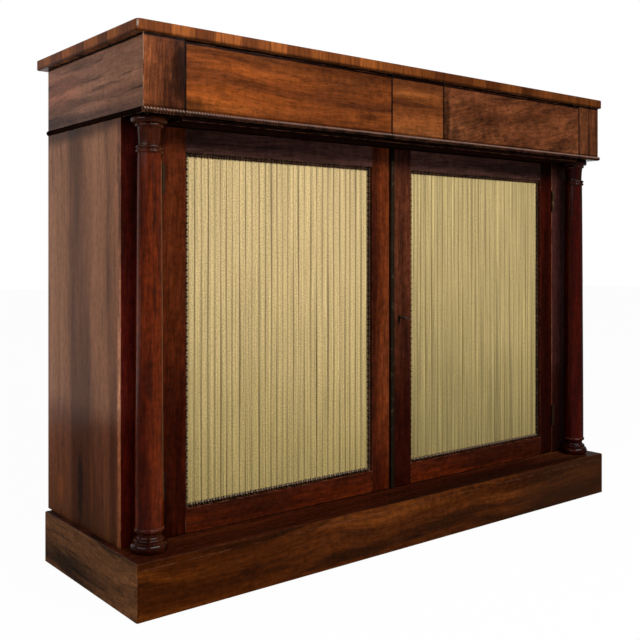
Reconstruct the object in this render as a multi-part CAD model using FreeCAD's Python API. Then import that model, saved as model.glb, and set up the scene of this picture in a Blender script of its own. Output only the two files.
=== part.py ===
import FreeCAD, Part
import math
import os

# Regency chiffonier: a low cupboard with two silk-panelled doors, two frieze drawers
# and a pair of turned columns standing on a deep plinth.
# Millimetres. X runs along the width, the front faces -Y, Z is up.
# The origin is on the floor, under the middle of the top board.

Vector = FreeCAD.Vector

# ---- overall sizes -------------------------------------------------------------------
top_width = 1200.0
top_depth = 396.0
total_height = 915.0

# ---- top board -----------------------------------------------------------------------
top_thickness = 19.0
banding_thickness = 3.0
top_corner_radius = 8.0
top_arris_radius = 2.5

# ---- how far the carcass stands in from the top --------------------------------------
front_overhang = 4.0
side_overhang = 12.5
back_overhang = 22.0

# ---- frieze --------------------------------------------------------------------------
frieze_height = 122.0
frieze_front_thickness = 18.0
end_block_width = 73.0
tablet_width = 139.0
frieze_floor_thickness = 8.0
moulding_height = 9.0
moulding_projection = 3.5

# ---- carcass -------------------------------------------------------------------------
side_thickness = 18.0
front_recess = 75.0
post_facing = 12.0
post_thickness = 22.0
head_rail_thickness = 6.0
head_rail_setback = 8.0
head_rail_lap = 36.0
floor_thickness = 14.0
back_board_thickness = 10.0
back_board_recess = 2.0
back_rebate = 8.0
back_board_count = 5
back_board_lap = 6.0
shelf_thickness = 16.0
shelf_underside = 448.0
shelf_setback = 39.0
bearer_height = 20.0
bearer_thickness = 14.0

# ---- plinth --------------------------------------------------------------------------
plinth_side_projection = 12.5
plinth_front_projection = 4.0
plinth_back_setback = 17.0
plinth_height = 90.0
plinth_board = 18.0
plinth_top_thickness = 12.0
plinth_arris_radius = 3.0
glue_block_size = 26.0
glue_block_height = 45.0

# ---- columns -------------------------------------------------------------------------
column_from_front = 43.5
column_from_side = 33.5
peg_radius = 10.0
upper_peg_length = 7.0
lower_peg_length = 10.0
torus_radius = 30.5
torus_height = 15.5
torus_relief = 5.0
upper_torus_radius = 25.2
upper_torus_height = 6.0
upper_torus_relief = 1.8
scotia_radius = 20.3
scotia_height = 10.0
scotia_relief = 2.4
foot_ring_radius = 24.4
foot_ring_height = 6.0
ring_relief = 1.7
shaft_foot_radius = 22.6
shaft_neck_radius = 19.7
shaft_swell = 0.4
astragal_radius = 22.9
astragal_height = 5.0
astragal_gap = 1.5
neck_radius = 18.4
neck_top_radius = 20.4
neck_height = 29.0
neck_hollow = 0.5
collar_radius = 23.7
collar_height = 6.0
capital_radius = 30.0
capital_height = 11.0
capital_relief = 3.5
turning_steps = 5

# ---- doors ---------------------------------------------------------------------------
door_thickness = 20.0
door_gap = 1.5
door_floor_gap = 2.0
meeting_gap = 1.6
meeting_rebate_width = 7.5
meeting_rebate_depth = 6.0
hinge_stile_width = 43.0
meeting_stile_width = 52.0
top_rail_width = 39.5
bottom_rail_width = 41.0
tenon_length = 28.0
tenon_thickness = 6.0
tenon_shoulder = 7.0
bead_width = 5.5
bead_depth = 5.0
bead_recess = 2.0
panel_rebate = 6.0
silk_thickness = 3.0
backing_thickness = 6.0

# ---- drawers -------------------------------------------------------------------------
drawer_gap = 1.0
drawer_top_gap = 4.5
drawer_floor_gap = 0.5
drawer_back_space = 32.0
drawer_side_thickness = 9.0
drawer_side_clearance = 0.3
drawer_bottom_thickness = 6.0
drawer_bottom_rise = 8.0
groove_depth = 4.0
tail_count = 3
tail_length = 12.0
tail_slope = 2.5
guide_width = 14.0
guide_height = 20.0

# ---- hinges --------------------------------------------------------------------------
hinge_height = 45.0
hinge_inset = 64.0
leaf_width = 15.0
leaf_thickness = 1.5
knuckle_radius = 3.2
knuckle_count = 5
pin_radius = 1.5
pin_head_radius = 2.4
pin_head_height = 1.2

# ---- lock, key and door bolts --------------------------------------------------------
key_height = 430.0
key_backset = 18.5
lock_width = 40.0
lock_height = 48.0
lock_depth = 12.0
lock_wall = 2.0
lock_bolt_height = 8.0
lock_bolt_depth = 5.0
lock_bolt_length = 33.0
lock_bolt_throw = 8.0
talon_width = 14.0
bit_reach = 10.5
bit_width = 2.4
bit_depth = 5.0
key_shank_radius = 2.0
key_projection = 29.0
key_bow_radius = 8.0
key_bow_hole_radius = 5.2
key_bow_thickness = 2.4
key_collar_radius = 2.8
key_collar_length = 2.0
keyhole_radius = 3.0
escutcheon_rim = 0.9
escutcheon_depth = 3.0
escutcheon_proud = 0.2
strike_thickness = 1.2
strike_width = 12.0
strike_height = 36.0
astragal_width = 10.0
astragal_overlap = 3.5
astragal_depth = 3.5
door_bolt_radius = 3.0
door_bolt_length = 62.0
door_bolt_throw = 7.0
door_bolt_plate_width = 18.0
door_bolt_plate_thickness = 1.5
door_bolt_guide_length = 8.0
door_bolt_end_gap = 0.6
bolt_knob_stem = 2.0
bolt_knob_length = 4.0
bolt_knob_radius = 3.5
bolt_knob_chamfer = 0.8

# ---- clearances ----------------------------------------------------------------------
seat_clearance = 0.1
soft_clearance = 0.3
running_clearance = 0.05
bolt_hole_clearance = 0.5

# ---- planes and lines that several pieces share --------------------------------------
front_y = -top_depth / 2
frieze_y = front_y + front_overhang
frieze_back_y = frieze_y + frieze_front_thickness
door_y = frieze_y + front_recess
door_back_y = door_y + door_thickness
side_front_y = door_y + post_facing
post_back_y = door_y + post_thickness
back_y = top_depth / 2 - back_overhang
back_board_y = back_y - back_board_recess - back_board_thickness
outer_x = top_width / 2 - side_overhang
plinth_x = outer_x + plinth_side_projection
plinth_front_y = frieze_y - plinth_front_projection
plinth_back_y = back_y - plinth_back_setback
inner_x = outer_x - side_thickness
opening_x = outer_x - end_block_width
top_underside = total_height - top_thickness
frieze_underside = top_underside - frieze_height
frieze_floor_top = frieze_underside + frieze_floor_thickness
head_underside = frieze_underside - head_rail_thickness
floor_top = plinth_height + floor_thickness
column_x = outer_x - column_from_side
column_y = frieze_y + column_from_front
door_outer_x = opening_x - door_gap
door_inner_x = meeting_gap / 2
door_top = head_underside - door_gap
door_bottom = plinth_height + door_floor_gap
panel_inner_x = door_inner_x + meeting_stile_width
panel_outer_x = door_outer_x - hinge_stile_width
panel_top = door_top - top_rail_width
panel_bottom = door_bottom + bottom_rail_width
bead_y = door_y + bead_recess
rebate_y = bead_y + bead_depth
pin_y = door_y - knuckle_radius + 0.4
pin_x = (opening_x + door_outer_x) / 2
key_x = door_inner_x + key_backset


def block(x, y, z):
    """A box between two corners, each axis given as (low, high)."""
    corner = Vector(x[0], y[0], z[0])
    return Part.makeBox(x[1] - x[0], y[1] - y[0], z[1] - z[0], corner)


def plan_prism(points, z):
    """A polygon drawn in plan, raised from z[0] to z[1]."""
    outline = [Vector(x, y, z[0]) for x, y in points]
    face = Part.Face(Part.makePolygon(outline + outline[:1]))
    return face.extrude(Vector(0, 0, z[1] - z[0]))


def front_prism(points, y):
    """A polygon drawn in front view, carried back from y[0] to y[1]."""
    outline = [Vector(x, y[0], z) for x, z in points]
    face = Part.Face(Part.makePolygon(outline + outline[:1]))
    return face.extrude(Vector(0, y[1] - y[0], 0))


def rod_z(x, y, radius, z):
    return Part.makeCylinder(radius, z[1] - z[0], Vector(x, y, z[0]))


def rod_y(x, z, radius, y):
    return Part.makeCylinder(radius, y[1] - y[0], Vector(x, y[0], z), Vector(0, 1, 0))


def mirrored(shape):
    """The same piece on the other side of the middle."""
    return shape.mirror(Vector(0, 0, 0), Vector(1, 0, 0))


def both_sides(shape):
    return Part.makeCompound([mirrored(shape), shape])


def round_edges(shape, radius, wanted):
    """Rounds the edges whose midpoint passes the test."""
    edges = [edge for edge in shape.Edges if wanted(edge.CenterOfMass)]
    return shape.makeFillet(radius, edges)


# ---- top -----------------------------------------------------------------------------
def top_outline():
    """The whole top, with rounded front corners and softened arrises."""
    half = top_width / 2
    slab = block((-half, half), (front_y, top_depth / 2), (top_underside, total_height))
    slab = round_edges(
        slab, top_corner_radius,
        lambda p: abs(abs(p.x) - half) < 0.01 and abs(p.y - front_y) < 0.01)
    top_and_bottom = (top_underside, total_height)
    return round_edges(
        slab, top_arris_radius,
        lambda p: min(abs(p.z - z) for z in top_and_bottom) < 0.01 and p.y < top_depth / 2 - 0.01)


def top_core():
    """What is left of the top inside the crossbanded edge."""
    half = top_width / 2 - banding_thickness
    core = block((-half, half), (front_y + banding_thickness, top_depth / 2),
                 (top_underside, total_height))
    return round_edges(
        core, top_corner_radius - banding_thickness,
        lambda p: abs(abs(p.x) - half) < 0.01 and abs(p.y - front_y - banding_thickness) < 0.01)


def top_board():
    return top_outline().common(top_core())


def top_crossbanding():
    return top_outline().cut(top_core())


# ---- frieze --------------------------------------------------------------------------
def frieze_side():
    """Right side of the frieze, mitred to the end block, rebated for the back boards."""
    plan = [(outer_x, frieze_y), (outer_x, back_y), (inner_x, back_y), (inner_x, frieze_back_y)]
    return plan_prism(plan, (frieze_underside, top_underside)).cut(back_rebate_cut())


def back_rebate_cut():
    return block((inner_x - 1, inner_x + back_rebate), (back_board_y, back_y + 1),
                 (0, total_height))


def frieze_end_block():
    plan = [(outer_x, frieze_y), (inner_x, frieze_back_y), (opening_x, frieze_back_y),
            (opening_x, frieze_y)]
    return plan_prism(plan, (frieze_underside, top_underside))


def frieze_tablet():
    return block((-tablet_width / 2, tablet_width / 2), (frieze_y, frieze_back_y),
                 (frieze_underside, top_underside))


def frieze_floor():
    """Floor of the drawer space. The column pegs enter it from below."""
    board = block((-inner_x, inner_x), (frieze_back_y, back_board_y),
                  (frieze_underside, frieze_floor_top))
    hole = rod_z(column_x, column_y, peg_radius + seat_clearance,
                 (frieze_underside - 1, frieze_floor_top + 1))
    return board.cut(both_sides(hole))


def head_rail():
    """Thin rail under the drawers, which the doors close under."""
    rail = block((-opening_x, opening_x), (frieze_y + head_rail_setback, door_y + head_rail_lap),
                 (head_underside, frieze_underside))
    return rail.cut(door_bolt_hole((head_underside - 1, frieze_underside + 1)))


def moulding_section(y_face):
    """Half-round section of the frieze moulding, as a face in the YZ plane at X = 0."""
    low = Vector(0, y_face, frieze_underside)
    crest = Vector(0, y_face - moulding_projection, frieze_underside + moulding_height / 2)
    high = Vector(0, y_face, frieze_underside + moulding_height)
    edges = [Part.Arc(low, crest, high).toShape(), Part.LineSegment(high, low).toShape()]
    return Part.Face(Part.Wire(edges))


def moulding_run(x0, x1):
    """A straight run of moulding on the frieze's face."""
    section = moulding_section(frieze_y)
    section.translate(Vector(x0, 0, 0))
    return section.extrude(Vector(x1 - x0, 0, 0))


def mitre_corner():
    """Plan triangle in front of the mitre line at the frieze's right front corner."""
    reach = moulding_projection + 1
    points = [(outer_x, frieze_y), (outer_x + reach, frieze_y - reach), (outer_x, frieze_y - reach)]
    return plan_prism(points, (frieze_underside - 1, frieze_underside + moulding_height + 1))


def front_moulding_end():
    """Moulding under the right end block, mitred at the corner."""
    run = moulding_run(opening_x, outer_x + moulding_projection + 1)
    beyond = run.common(block((outer_x, outer_x + 10), (frieze_y - 10, frieze_y + 1),
                              (frieze_underside - 1, frieze_underside + moulding_height + 1)))
    return run.cut(beyond).fuse(beyond.common(mitre_corner())).removeSplitter()


def frieze_rope_moulding():
    """The fixed runs of the front moulding: two end blocks and the tablet."""
    end = front_moulding_end()
    middle = moulding_run(-tablet_width / 2, tablet_width / 2)
    return Part.makeCompound([mirrored(end), middle, end])


def side_bead():
    """Plain bead along the frieze's right side, mitred to the front moulding."""
    section = moulding_section(0)
    section.rotate(Vector(0, 0, 0), Vector(0, 0, 1), 90)
    reach = moulding_projection + 1
    section.translate(Vector(outer_x, frieze_y - reach, 0))
    run = section.extrude(Vector(0, back_y - frieze_y + reach, 0))
    wedge = [(outer_x - 1, frieze_y - reach - 1), (outer_x + reach + 1, frieze_y - reach - 1),
             (outer_x - 1, frieze_y + 1)]
    return run.cut(plan_prism(wedge, (frieze_underside - 1, top_underside)))


def drawer_guides():
    """Four strips that the drawers slide between."""
    length = (frieze_back_y, back_board_y)
    height = (frieze_floor_top, frieze_floor_top + guide_height)
    outer_x0 = drawer_x[1] + drawer_side_clearance
    inner_x1 = drawer_x[0] - drawer_side_clearance
    outer = block((outer_x0, outer_x0 + guide_width), length, height)
    inner = block((inner_x1 - guide_width, inner_x1), length, height)
    return Part.makeCompound([mirrored(outer), mirrored(inner), inner, outer])


# ---- columns -------------------------------------------------------------------------
def turned_curve(low_radius, high_radius, swell, low, height):
    """Outline points that rise from one radius to the other and swell (or hollow) between."""
    points = []
    for step in range(turning_steps + 1):
        angle = math.pi * step / turning_steps
        rise = (1 - math.cos(angle)) / 2
        radius = low_radius + (high_radius - low_radius) * rise + swell * math.sin(angle)
        points.append((radius, low + height * rise))
    return points


def ring(crest_radius, relief, low, height):
    """Outline points of a half-round moulding that stands out by its relief."""
    edge = crest_radius - relief
    return turned_curve(edge, edge, relief, low, height)


def column_outline():
    """Outline of the turned column and its two pegs, from the foot up."""
    capital_low = frieze_underside - capital_height
    collar_low = capital_low - collar_height
    neck_low = collar_low - neck_height
    upper_astragal = neck_low - astragal_height
    lower_astragal = upper_astragal - astragal_gap - astragal_height
    upper_torus = plinth_height + torus_height
    scotia = upper_torus + upper_torus_height
    foot_ring = scotia + scotia_height
    shaft = foot_ring + foot_ring_height
    peg_low = plinth_height - lower_peg_length
    peg_high = frieze_underside + upper_peg_length
    scotia_edge = scotia_radius + scotia_relief
    outline = [(0, peg_low), (peg_radius, peg_low), (peg_radius, plinth_height)]
    outline += ring(torus_radius, torus_relief, plinth_height, torus_height)
    outline += ring(upper_torus_radius, upper_torus_relief, upper_torus, upper_torus_height)
    outline += turned_curve(scotia_edge, scotia_edge, -scotia_relief, scotia, scotia_height)
    outline += ring(foot_ring_radius, ring_relief, foot_ring, foot_ring_height)
    outline += turned_curve(shaft_foot_radius, shaft_neck_radius, shaft_swell,
                            shaft, lower_astragal - shaft)
    outline += ring(astragal_radius, ring_relief, lower_astragal, astragal_height)
    outline += ring(astragal_radius, ring_relief, upper_astragal, astragal_height)
    outline += turned_curve(neck_radius, neck_top_radius, -neck_hollow, neck_low, neck_height)
    outline += ring(collar_radius, ring_relief, collar_low, collar_height)
    outline += ring(capital_radius, capital_relief, capital_low, capital_height)
    outline += [(peg_radius, frieze_underside), (peg_radius, peg_high), (0, peg_high)]
    return outline


def column():
    """Right column: one turning with a peg at each end."""
    points = [Vector(radius, 0, height) for radius, height in column_outline()]
    face = Part.Face(Part.makePolygon(points + points[:1]))
    turned = face.revolve(Vector(0, 0, 0), Vector(0, 0, 1), 360)
    turned.translate(Vector(column_x, column_y, 0))
    return turned


# ---- carcass -------------------------------------------------------------------------
def side_panel():
    board = block((inner_x, outer_x), (side_front_y, back_y), (plinth_height, frieze_underside))
    return board.cut(back_rebate_cut())


def front_post():
    """Right post: laps round the front edge of the side and carries the hinges."""
    plan = [(opening_x, door_y), (outer_x, door_y), (outer_x, side_front_y),
            (inner_x, side_front_y), (inner_x, post_back_y), (opening_x, post_back_y)]
    post = plan_prism(plan, (plinth_height, frieze_underside))
    for z in hinge_positions():
        post = post.cut(leaf_recess(opening_x, 1, z))
    return post


def floor_board():
    board = block((-inner_x, inner_x), (post_back_y, back_board_y), (plinth_height, floor_top))
    return board.cut(door_bolt_hole((plinth_height + 1, floor_top + 1)))


def shelf():
    width = inner_x - soft_clearance
    return block((-width, width), (door_y + shelf_setback, back_board_y - soft_clearance),
                 (shelf_underside, shelf_underside + shelf_thickness))


def shelf_bearers():
    bearer = block((inner_x - bearer_thickness, inner_x),
                   (door_y + shelf_setback, back_board_y),
                   (shelf_underside - bearer_height, shelf_underside))
    return both_sides(bearer)


def back_boards():
    """Upright boards with lapped edges, held in the rebates of the sides."""
    left = -(inner_x + back_rebate - seat_clearance)
    pitch = -2 * left / back_board_count
    front = back_board_y
    middle = front + back_board_thickness / 2
    back = front + back_board_thickness
    boards = []
    for index in range(back_board_count):
        x0 = left + index * pitch
        x1 = x0 + pitch - seat_clearance
        lap_in = back_board_lap if index > 0 else 0
        lap_out = back_board_lap if index < back_board_count - 1 else 0
        plan = [(x0, front), (x1, front), (x1, middle), (x1 + lap_out, middle)]
        plan += [(x1 + lap_out, back), (x0 + lap_in, back), (x0 + lap_in, middle + seat_clearance),
                 (x0, middle + seat_clearance)]
        if lap_out == 0:
            plan = plan[:2] + plan[4:]
        if lap_in == 0:
            plan = plan[:-2]
        boards.append(plan_prism(plan, (plinth_height, top_underside)))
    return Part.makeCompound(boards)


# ---- plinth --------------------------------------------------------------------------
def plinth_heights():
    return (0, plinth_height - plinth_top_thickness)


def round_upright_corners(shape):
    """Softens the two upright corners at the front of the plinth."""
    return round_edges(
        shape, plinth_arris_radius,
        lambda p: abs(abs(p.x) - plinth_x) < 0.01 and abs(p.y - plinth_front_y) < 0.01)


def plinth_shell():
    """Outside of the plinth's frame, front corners softened."""
    shell = block((-plinth_x, plinth_x), (plinth_front_y, plinth_back_y), plinth_heights())
    return round_upright_corners(shell)


def plinth_front():
    inner = plinth_front_y + plinth_board
    plan = [(-plinth_x, plinth_front_y), (plinth_x, plinth_front_y),
            (plinth_x - plinth_board, inner), (-plinth_x + plinth_board, inner)]
    return plan_prism(plan, plinth_heights()).common(plinth_shell())


def plinth_sides():
    inner_side = plinth_x - plinth_board
    plan = [(plinth_x, plinth_front_y), (plinth_x, plinth_back_y), (inner_side, plinth_back_y),
            (inner_side, plinth_front_y + plinth_board)]
    return both_sides(plan_prism(plan, plinth_heights()).common(plinth_shell()))


def plinth_back():
    half = plinth_x - plinth_board
    return block((-half, half), (plinth_back_y - plinth_board, plinth_back_y), plinth_heights())


def plinth_top():
    """Ledge board. The column pegs enter it from above."""
    board = block((-plinth_x, plinth_x), (plinth_front_y, plinth_back_y),
                  (plinth_heights()[1], plinth_height))
    board = round_upright_corners(board)
    board = round_edges(
        board, plinth_arris_radius,
        lambda p: abs(p.z - plinth_height) < 0.01 and p.y < plinth_back_y - 0.01)
    hole = rod_z(column_x, column_y, peg_radius + seat_clearance,
                 (plinth_height - lower_peg_length - seat_clearance, plinth_height + 1))
    return board.cut(both_sides(hole))


def plinth_blocks():
    """Glue blocks inside the plinth, at the corners and along the long boards."""
    top = plinth_heights()[1]
    corner_x = plinth_x - plinth_board - glue_block_size
    rows = (plinth_front_y + plinth_board, plinth_back_y - plinth_board - glue_block_size)
    blocks = []
    for x in (corner_x, corner_x / 3):
        for y in rows:
            blocks.append(block((x, x + glue_block_size), (y, y + glue_block_size),
                                (top - glue_block_height, top)))
    return Part.makeCompound([mirrored(piece) for piece in blocks] + blocks)


# ---- hinges --------------------------------------------------------------------------
def hinge_positions():
    """Height of each hinge's lower end on the door."""
    return (door_bottom + hinge_inset, door_top - hinge_inset - hinge_height)


def leaf_recess(edge_x, side, z):
    """Shallow pocket for a hinge leaf: side is +1 into the post, -1 into the door."""
    depth = leaf_thickness + running_clearance - door_gap / 2
    x = sorted((edge_x - side, edge_x + side * depth))
    return block(x, (door_y - 1, door_y + leaf_width), (z, z + hinge_height))


def knuckle_heights(z, first):
    """Every other knuckle of a hinge, starting with the given one."""
    step = hinge_height / knuckle_count
    return [(z + index * step + running_clearance, z + (index + 1) * step - running_clearance)
            for index in range(first, knuckle_count, 2)]


def hinge_leaf(side, z):
    """One leaf with its knuckles: side is +1 on the post, -1 on the door."""
    first = 0 if side > 0 else 1
    near = pin_x + side * running_clearance
    x = sorted((near, near + side * leaf_thickness))
    relief = knuckle_radius + 2 * running_clearance
    plate = block(x, (pin_y + relief, door_y + leaf_width), (z, z + hinge_height))
    leaf = plate
    for low, high in knuckle_heights(z, first):
        arm = block(x, (pin_y, pin_y + relief), (low, high))
        leaf = leaf.fuse(arm).fuse(rod_z(pin_x, pin_y, knuckle_radius, (low, high)))
    bore = pin_radius + running_clearance
    leaf = leaf.cut(rod_z(pin_x, pin_y, bore, (z - 1, z + hinge_height + 1)))
    return leaf.removeSplitter()


def hinge_pin(z):
    """Pin with a small head at each end of the hinge."""
    pin = rod_z(pin_x, pin_y, pin_radius, (z, z + hinge_height))
    for low in (z - pin_head_height, z + hinge_height):
        pin = pin.fuse(rod_z(pin_x, pin_y, pin_head_radius, (low, low + pin_head_height)))
    return pin.removeSplitter()


def post_hinge_leaves():
    leaves = [hinge_leaf(1, z) for z in hinge_positions()]
    return Part.makeCompound([mirrored(leaf) for leaf in leaves] + leaves)


def door_hinge_leaves():
    """Right door's leaves, each with the pin that turns with it."""
    solids = []
    for z in hinge_positions():
        solids += [hinge_leaf(-1, z), hinge_pin(z)]
    return Part.makeCompound(solids)


# ---- doors ---------------------------------------------------------------------------
def panel_rebate_cut():
    """Rebate round the back of the door's opening, for the silk and its backing."""
    return block((panel_inner_x - panel_rebate, panel_outer_x + panel_rebate),
                 (rebate_y, door_back_y + 1),
                 (panel_bottom - panel_rebate, panel_top + panel_rebate))


def tenons(grow):
    """The four tenons of a door's rails, each grown by a clearance."""
    y0 = door_y + tenon_shoulder
    y = (y0 - grow, y0 + tenon_thickness + grow)
    rails = ((door_bottom + tenon_shoulder, panel_bottom - panel_rebate),
             (panel_top + panel_rebate, door_top - tenon_shoulder))
    ends = ((panel_inner_x - tenon_length - grow, panel_inner_x),
            (panel_outer_x, panel_outer_x + tenon_length + grow))
    return [block(x, y, (low - grow, high + grow)) for low, high in rails for x in ends]


def door_stile(x):
    """Upright of the right door, from x[0] to x[1], with its mortises."""
    stile = block(x, (door_y, door_back_y), (door_bottom, door_top)).cut(panel_rebate_cut())
    for mortise in tenons(seat_clearance):
        stile = stile.cut(mortise)
    return stile


def hinge_stile():
    stile = door_stile((panel_outer_x, door_outer_x))
    for z in hinge_positions():
        stile = stile.cut(leaf_recess(door_outer_x, -1, z))
    return stile


def door_rail(z, tenon_pair):
    rail = block((panel_inner_x, panel_outer_x), (door_y, door_back_y), z)
    rail = rail.cut(panel_rebate_cut())
    for tenon in tenon_pair:
        rail = rail.fuse(tenon)
    return rail.removeSplitter()


def bottom_rail():
    return door_rail((door_bottom, panel_bottom), tenons(0)[:2])


def top_rail():
    return door_rail((panel_top, door_top), tenons(0)[2:])


def door_beads():
    """Four mitred strips inside the frame, rounded on the face."""
    x0, x1, z0, z1 = panel_inner_x, panel_outer_x, panel_bottom, panel_top
    depth = (bead_y, rebate_y)
    ring = block((x0, x1), depth, (z0, z1))
    ring = ring.cut(block((x0 + bead_width, x1 - bead_width), (bead_y - 1, rebate_y + 1),
                          (z0 + bead_width, z1 - bead_width)))
    ring = round_edges(ring, bead_width * 0.4, lambda p: abs(p.y - bead_y) < 0.01)
    w = bead_width
    strips = [
        [(x0, z0), (x1, z0), (x1 - w, z0 + w), (x0 + w, z0 + w)],
        [(x1, z0), (x1, z1), (x1 - w, z1 - w), (x1 - w, z0 + w)],
        [(x1, z1), (x0, z1), (x0 + w, z1 - w), (x1 - w, z1 - w)],
        [(x0, z1), (x0, z0), (x0 + w, z0 + w), (x0 + w, z1 - w)],
    ]
    return Part.makeCompound([ring.common(front_prism(strip, depth)) for strip in strips])


def door_silk():
    """Pleated silk, as a plain closed sheet in the rebate."""
    return block((panel_inner_x - panel_rebate, panel_outer_x + panel_rebate),
                 (rebate_y, rebate_y + silk_thickness),
                 (panel_bottom - panel_rebate, panel_top + panel_rebate))


def door_backing():
    """Thin board behind the silk."""
    y0 = rebate_y + silk_thickness
    return block((panel_inner_x - panel_rebate, panel_outer_x + panel_rebate),
                 (y0, y0 + backing_thickness),
                 (panel_bottom - panel_rebate, panel_top + panel_rebate))


# ---- lock and key --------------------------------------------------------------------
def lock_front_y():
    return door_back_y - lock_depth


def bolt_cavity(grow):
    """Space that the lock bolt fills at rest, grown by a clearance."""
    z0 = key_height + bit_reach - 1
    y0 = door_back_y - lock_wall - lock_bolt_depth - 1
    x0 = door_inner_x + lock_wall / 2
    return block((x0 - grow, x0 + lock_bolt_length + grow),
                 (y0 - grow, y0 + lock_bolt_depth + grow),
                 (z0 - grow, z0 + lock_bolt_height + grow))


def lock_case():
    """Brass lock let into the back of the right door, hollow for the bolt and the bit."""
    case = block((door_inner_x, door_inner_x + lock_width), (lock_front_y(), door_back_y),
                 (key_height - lock_height / 2, key_height + lock_height / 2))
    pocket = rod_y(key_x, key_height, bit_reach + bolt_hole_clearance,
                   (lock_front_y() + lock_wall, door_back_y - lock_wall))
    slot = bolt_cavity(seat_clearance)
    mouth = slot.copy()
    mouth.translate(Vector(-lock_bolt_length / 2, 0, 0))
    socket = rod_y(key_x, key_height, key_shank_radius + running_clearance,
                   (lock_front_y(), door_back_y + 1))
    case = case.cut(pocket).cut(slot).cut(mouth).cut(socket)
    return case.cut(keyhole((lock_front_y() - 1, lock_front_y() + lock_wall + 1)))


def keyhole(y, rim=0):
    """Keyhole, or the same outline grown by a rim: a round hole with a slot below it."""
    slot_half = bit_width / 2 + bolt_hole_clearance + rim
    slot = block((key_x - slot_half, key_x + slot_half), y,
                 (key_height - bit_reach - bolt_hole_clearance - rim, key_height))
    return rod_y(key_x, key_height, keyhole_radius + rim, y).fuse(slot)


def lock_bolt():
    """Bolt with the talon that the key's bit enters a third of the way through its turn."""
    bolt = bolt_cavity(0)
    talon_x = key_x + lock_bolt_throw / 3
    talon = block((talon_x - talon_width / 2, talon_x + talon_width / 2), (door_y, door_back_y),
                  (key_height, key_height + bit_reach + bolt_hole_clearance))
    return bolt.cut(talon)


def lock_recess():
    """What the right meeting stile loses for the lock, its bolt and the keyhole."""
    pocket = block((door_inner_x - 1, door_inner_x + lock_width), (lock_front_y(), door_back_y + 1),
                   (key_height - lock_height / 2, key_height + lock_height / 2))
    return pocket.fuse(keyhole((door_y - 1, lock_front_y() + 1)))


def escutcheon():
    """Thin brass liner let into the door round the keyhole."""
    front = door_y - escutcheon_proud
    y = (front, front + escutcheon_depth)
    return keyhole(y, escutcheon_rim).cut(keyhole(y)).removeSplitter()


def key():
    """Key standing in the lock a quarter turn on, so that its ring and bit lie level."""
    bow_y = door_y - key_projection + key_bow_radius
    shank_y = bow_y + (key_bow_radius + key_bow_hole_radius) / 2
    collar_y = bow_y + key_bow_radius + key_collar_length
    shank = rod_y(key_x, key_height, key_shank_radius, (shank_y, door_back_y - seat_clearance))
    collar = rod_y(key_x, key_height, key_collar_radius, (collar_y, collar_y + key_collar_length))
    bit_y = door_back_y - lock_wall - bolt_hole_clearance
    bit = block((key_x, key_x + bit_reach), (bit_y - bit_depth, bit_y),
                (key_height - bit_width / 2, key_height + bit_width / 2))
    bow_z = (key_height - key_bow_thickness / 2, key_height + key_bow_thickness / 2)
    bow = rod_z(key_x, bow_y, key_bow_radius, bow_z)
    bow = bow.cut(rod_z(key_x, bow_y, key_bow_hole_radius, bow_z))
    return shank.fuse([bit, bow, collar]).removeSplitter()


def meeting_stile_right():
    stile = door_stile((door_inner_x, panel_inner_x))
    liner = keyhole((door_y - 1, door_y - escutcheon_proud + escutcheon_depth), escutcheon_rim)
    return stile.cut(lock_recess()).cut(liner)


def door_astragal():
    """Brass strip on the right door's meeting edge, lapping over the left door."""
    left = door_inner_x - meeting_gap - astragal_overlap + meeting_gap / 2
    right = left + astragal_width
    front = door_y - astragal_depth
    points = [Vector(left, door_y, door_bottom), Vector((left + right) / 2, front, door_bottom),
              Vector(right, door_y, door_bottom)]
    edges = [Part.Arc(*points).toShape(), Part.LineSegment(points[2], points[0]).toShape()]
    strip = Part.Face(Part.Wire(edges)).extrude(Vector(0, 0, door_top - door_bottom))
    relief = block((left - 1, door_inner_x - meeting_gap / 4),
                   (door_y - soft_clearance, door_y + 1),
                   (door_bottom - 1, door_top + 1))
    return strip.cut(relief)


def strike_plate():
    """Plate on the left door's meeting edge, with a slot for the lock bolt."""
    z0 = key_height + bit_reach - 1 + lock_bolt_height / 2
    y0 = door_back_y - lock_wall - 1 - lock_bolt_depth / 2
    edge = -door_inner_x
    plate = block((edge - strike_thickness, edge), (y0 - strike_width / 2, door_back_y),
                  (z0 - strike_height / 2, z0 + strike_height / 2))
    return plate.cut(strike_hole())


def strike_hole():
    """Space that the thrown bolt enters in the left door."""
    reach = bolt_cavity(bolt_hole_clearance)
    reach.translate(Vector(-lock_bolt_throw - lock_wall, 0, 0))
    limit = block((-lock_width, -door_inner_x + 0.5), (door_y, door_back_y + 1),
                  (door_bottom, door_top))
    return reach.common(limit)


def meeting_rebate():
    """Step in the left door's front edge, which the brass strip closes over."""
    return block((-door_inner_x - meeting_rebate_width, 0),
                 (door_y - 1, door_y + meeting_rebate_depth), (door_bottom - 1, door_top + 1))


def meeting_stile_left():
    stile = mirrored(door_stile((door_inner_x, panel_inner_x)))
    return stile.cut(meeting_rebate()).cut(strike_plate().fuse(strike_hole()))


# ---- bolts on the left door ----------------------------------------------------------
def door_bolt_x():
    return -(door_inner_x + meeting_stile_width / 2)


def door_bolt_y():
    return door_back_y + door_bolt_plate_thickness + door_bolt_radius + running_clearance + 0.5


def door_bolt_hole(z):
    return rod_z(door_bolt_x(), door_bolt_y(), door_bolt_radius + bolt_hole_clearance, z)


def door_bolt_ends():
    """Free end of each bolt at rest: the lower one clears the floor, the upper the rail."""
    return (floor_top + door_bolt_end_gap, door_top)


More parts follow.
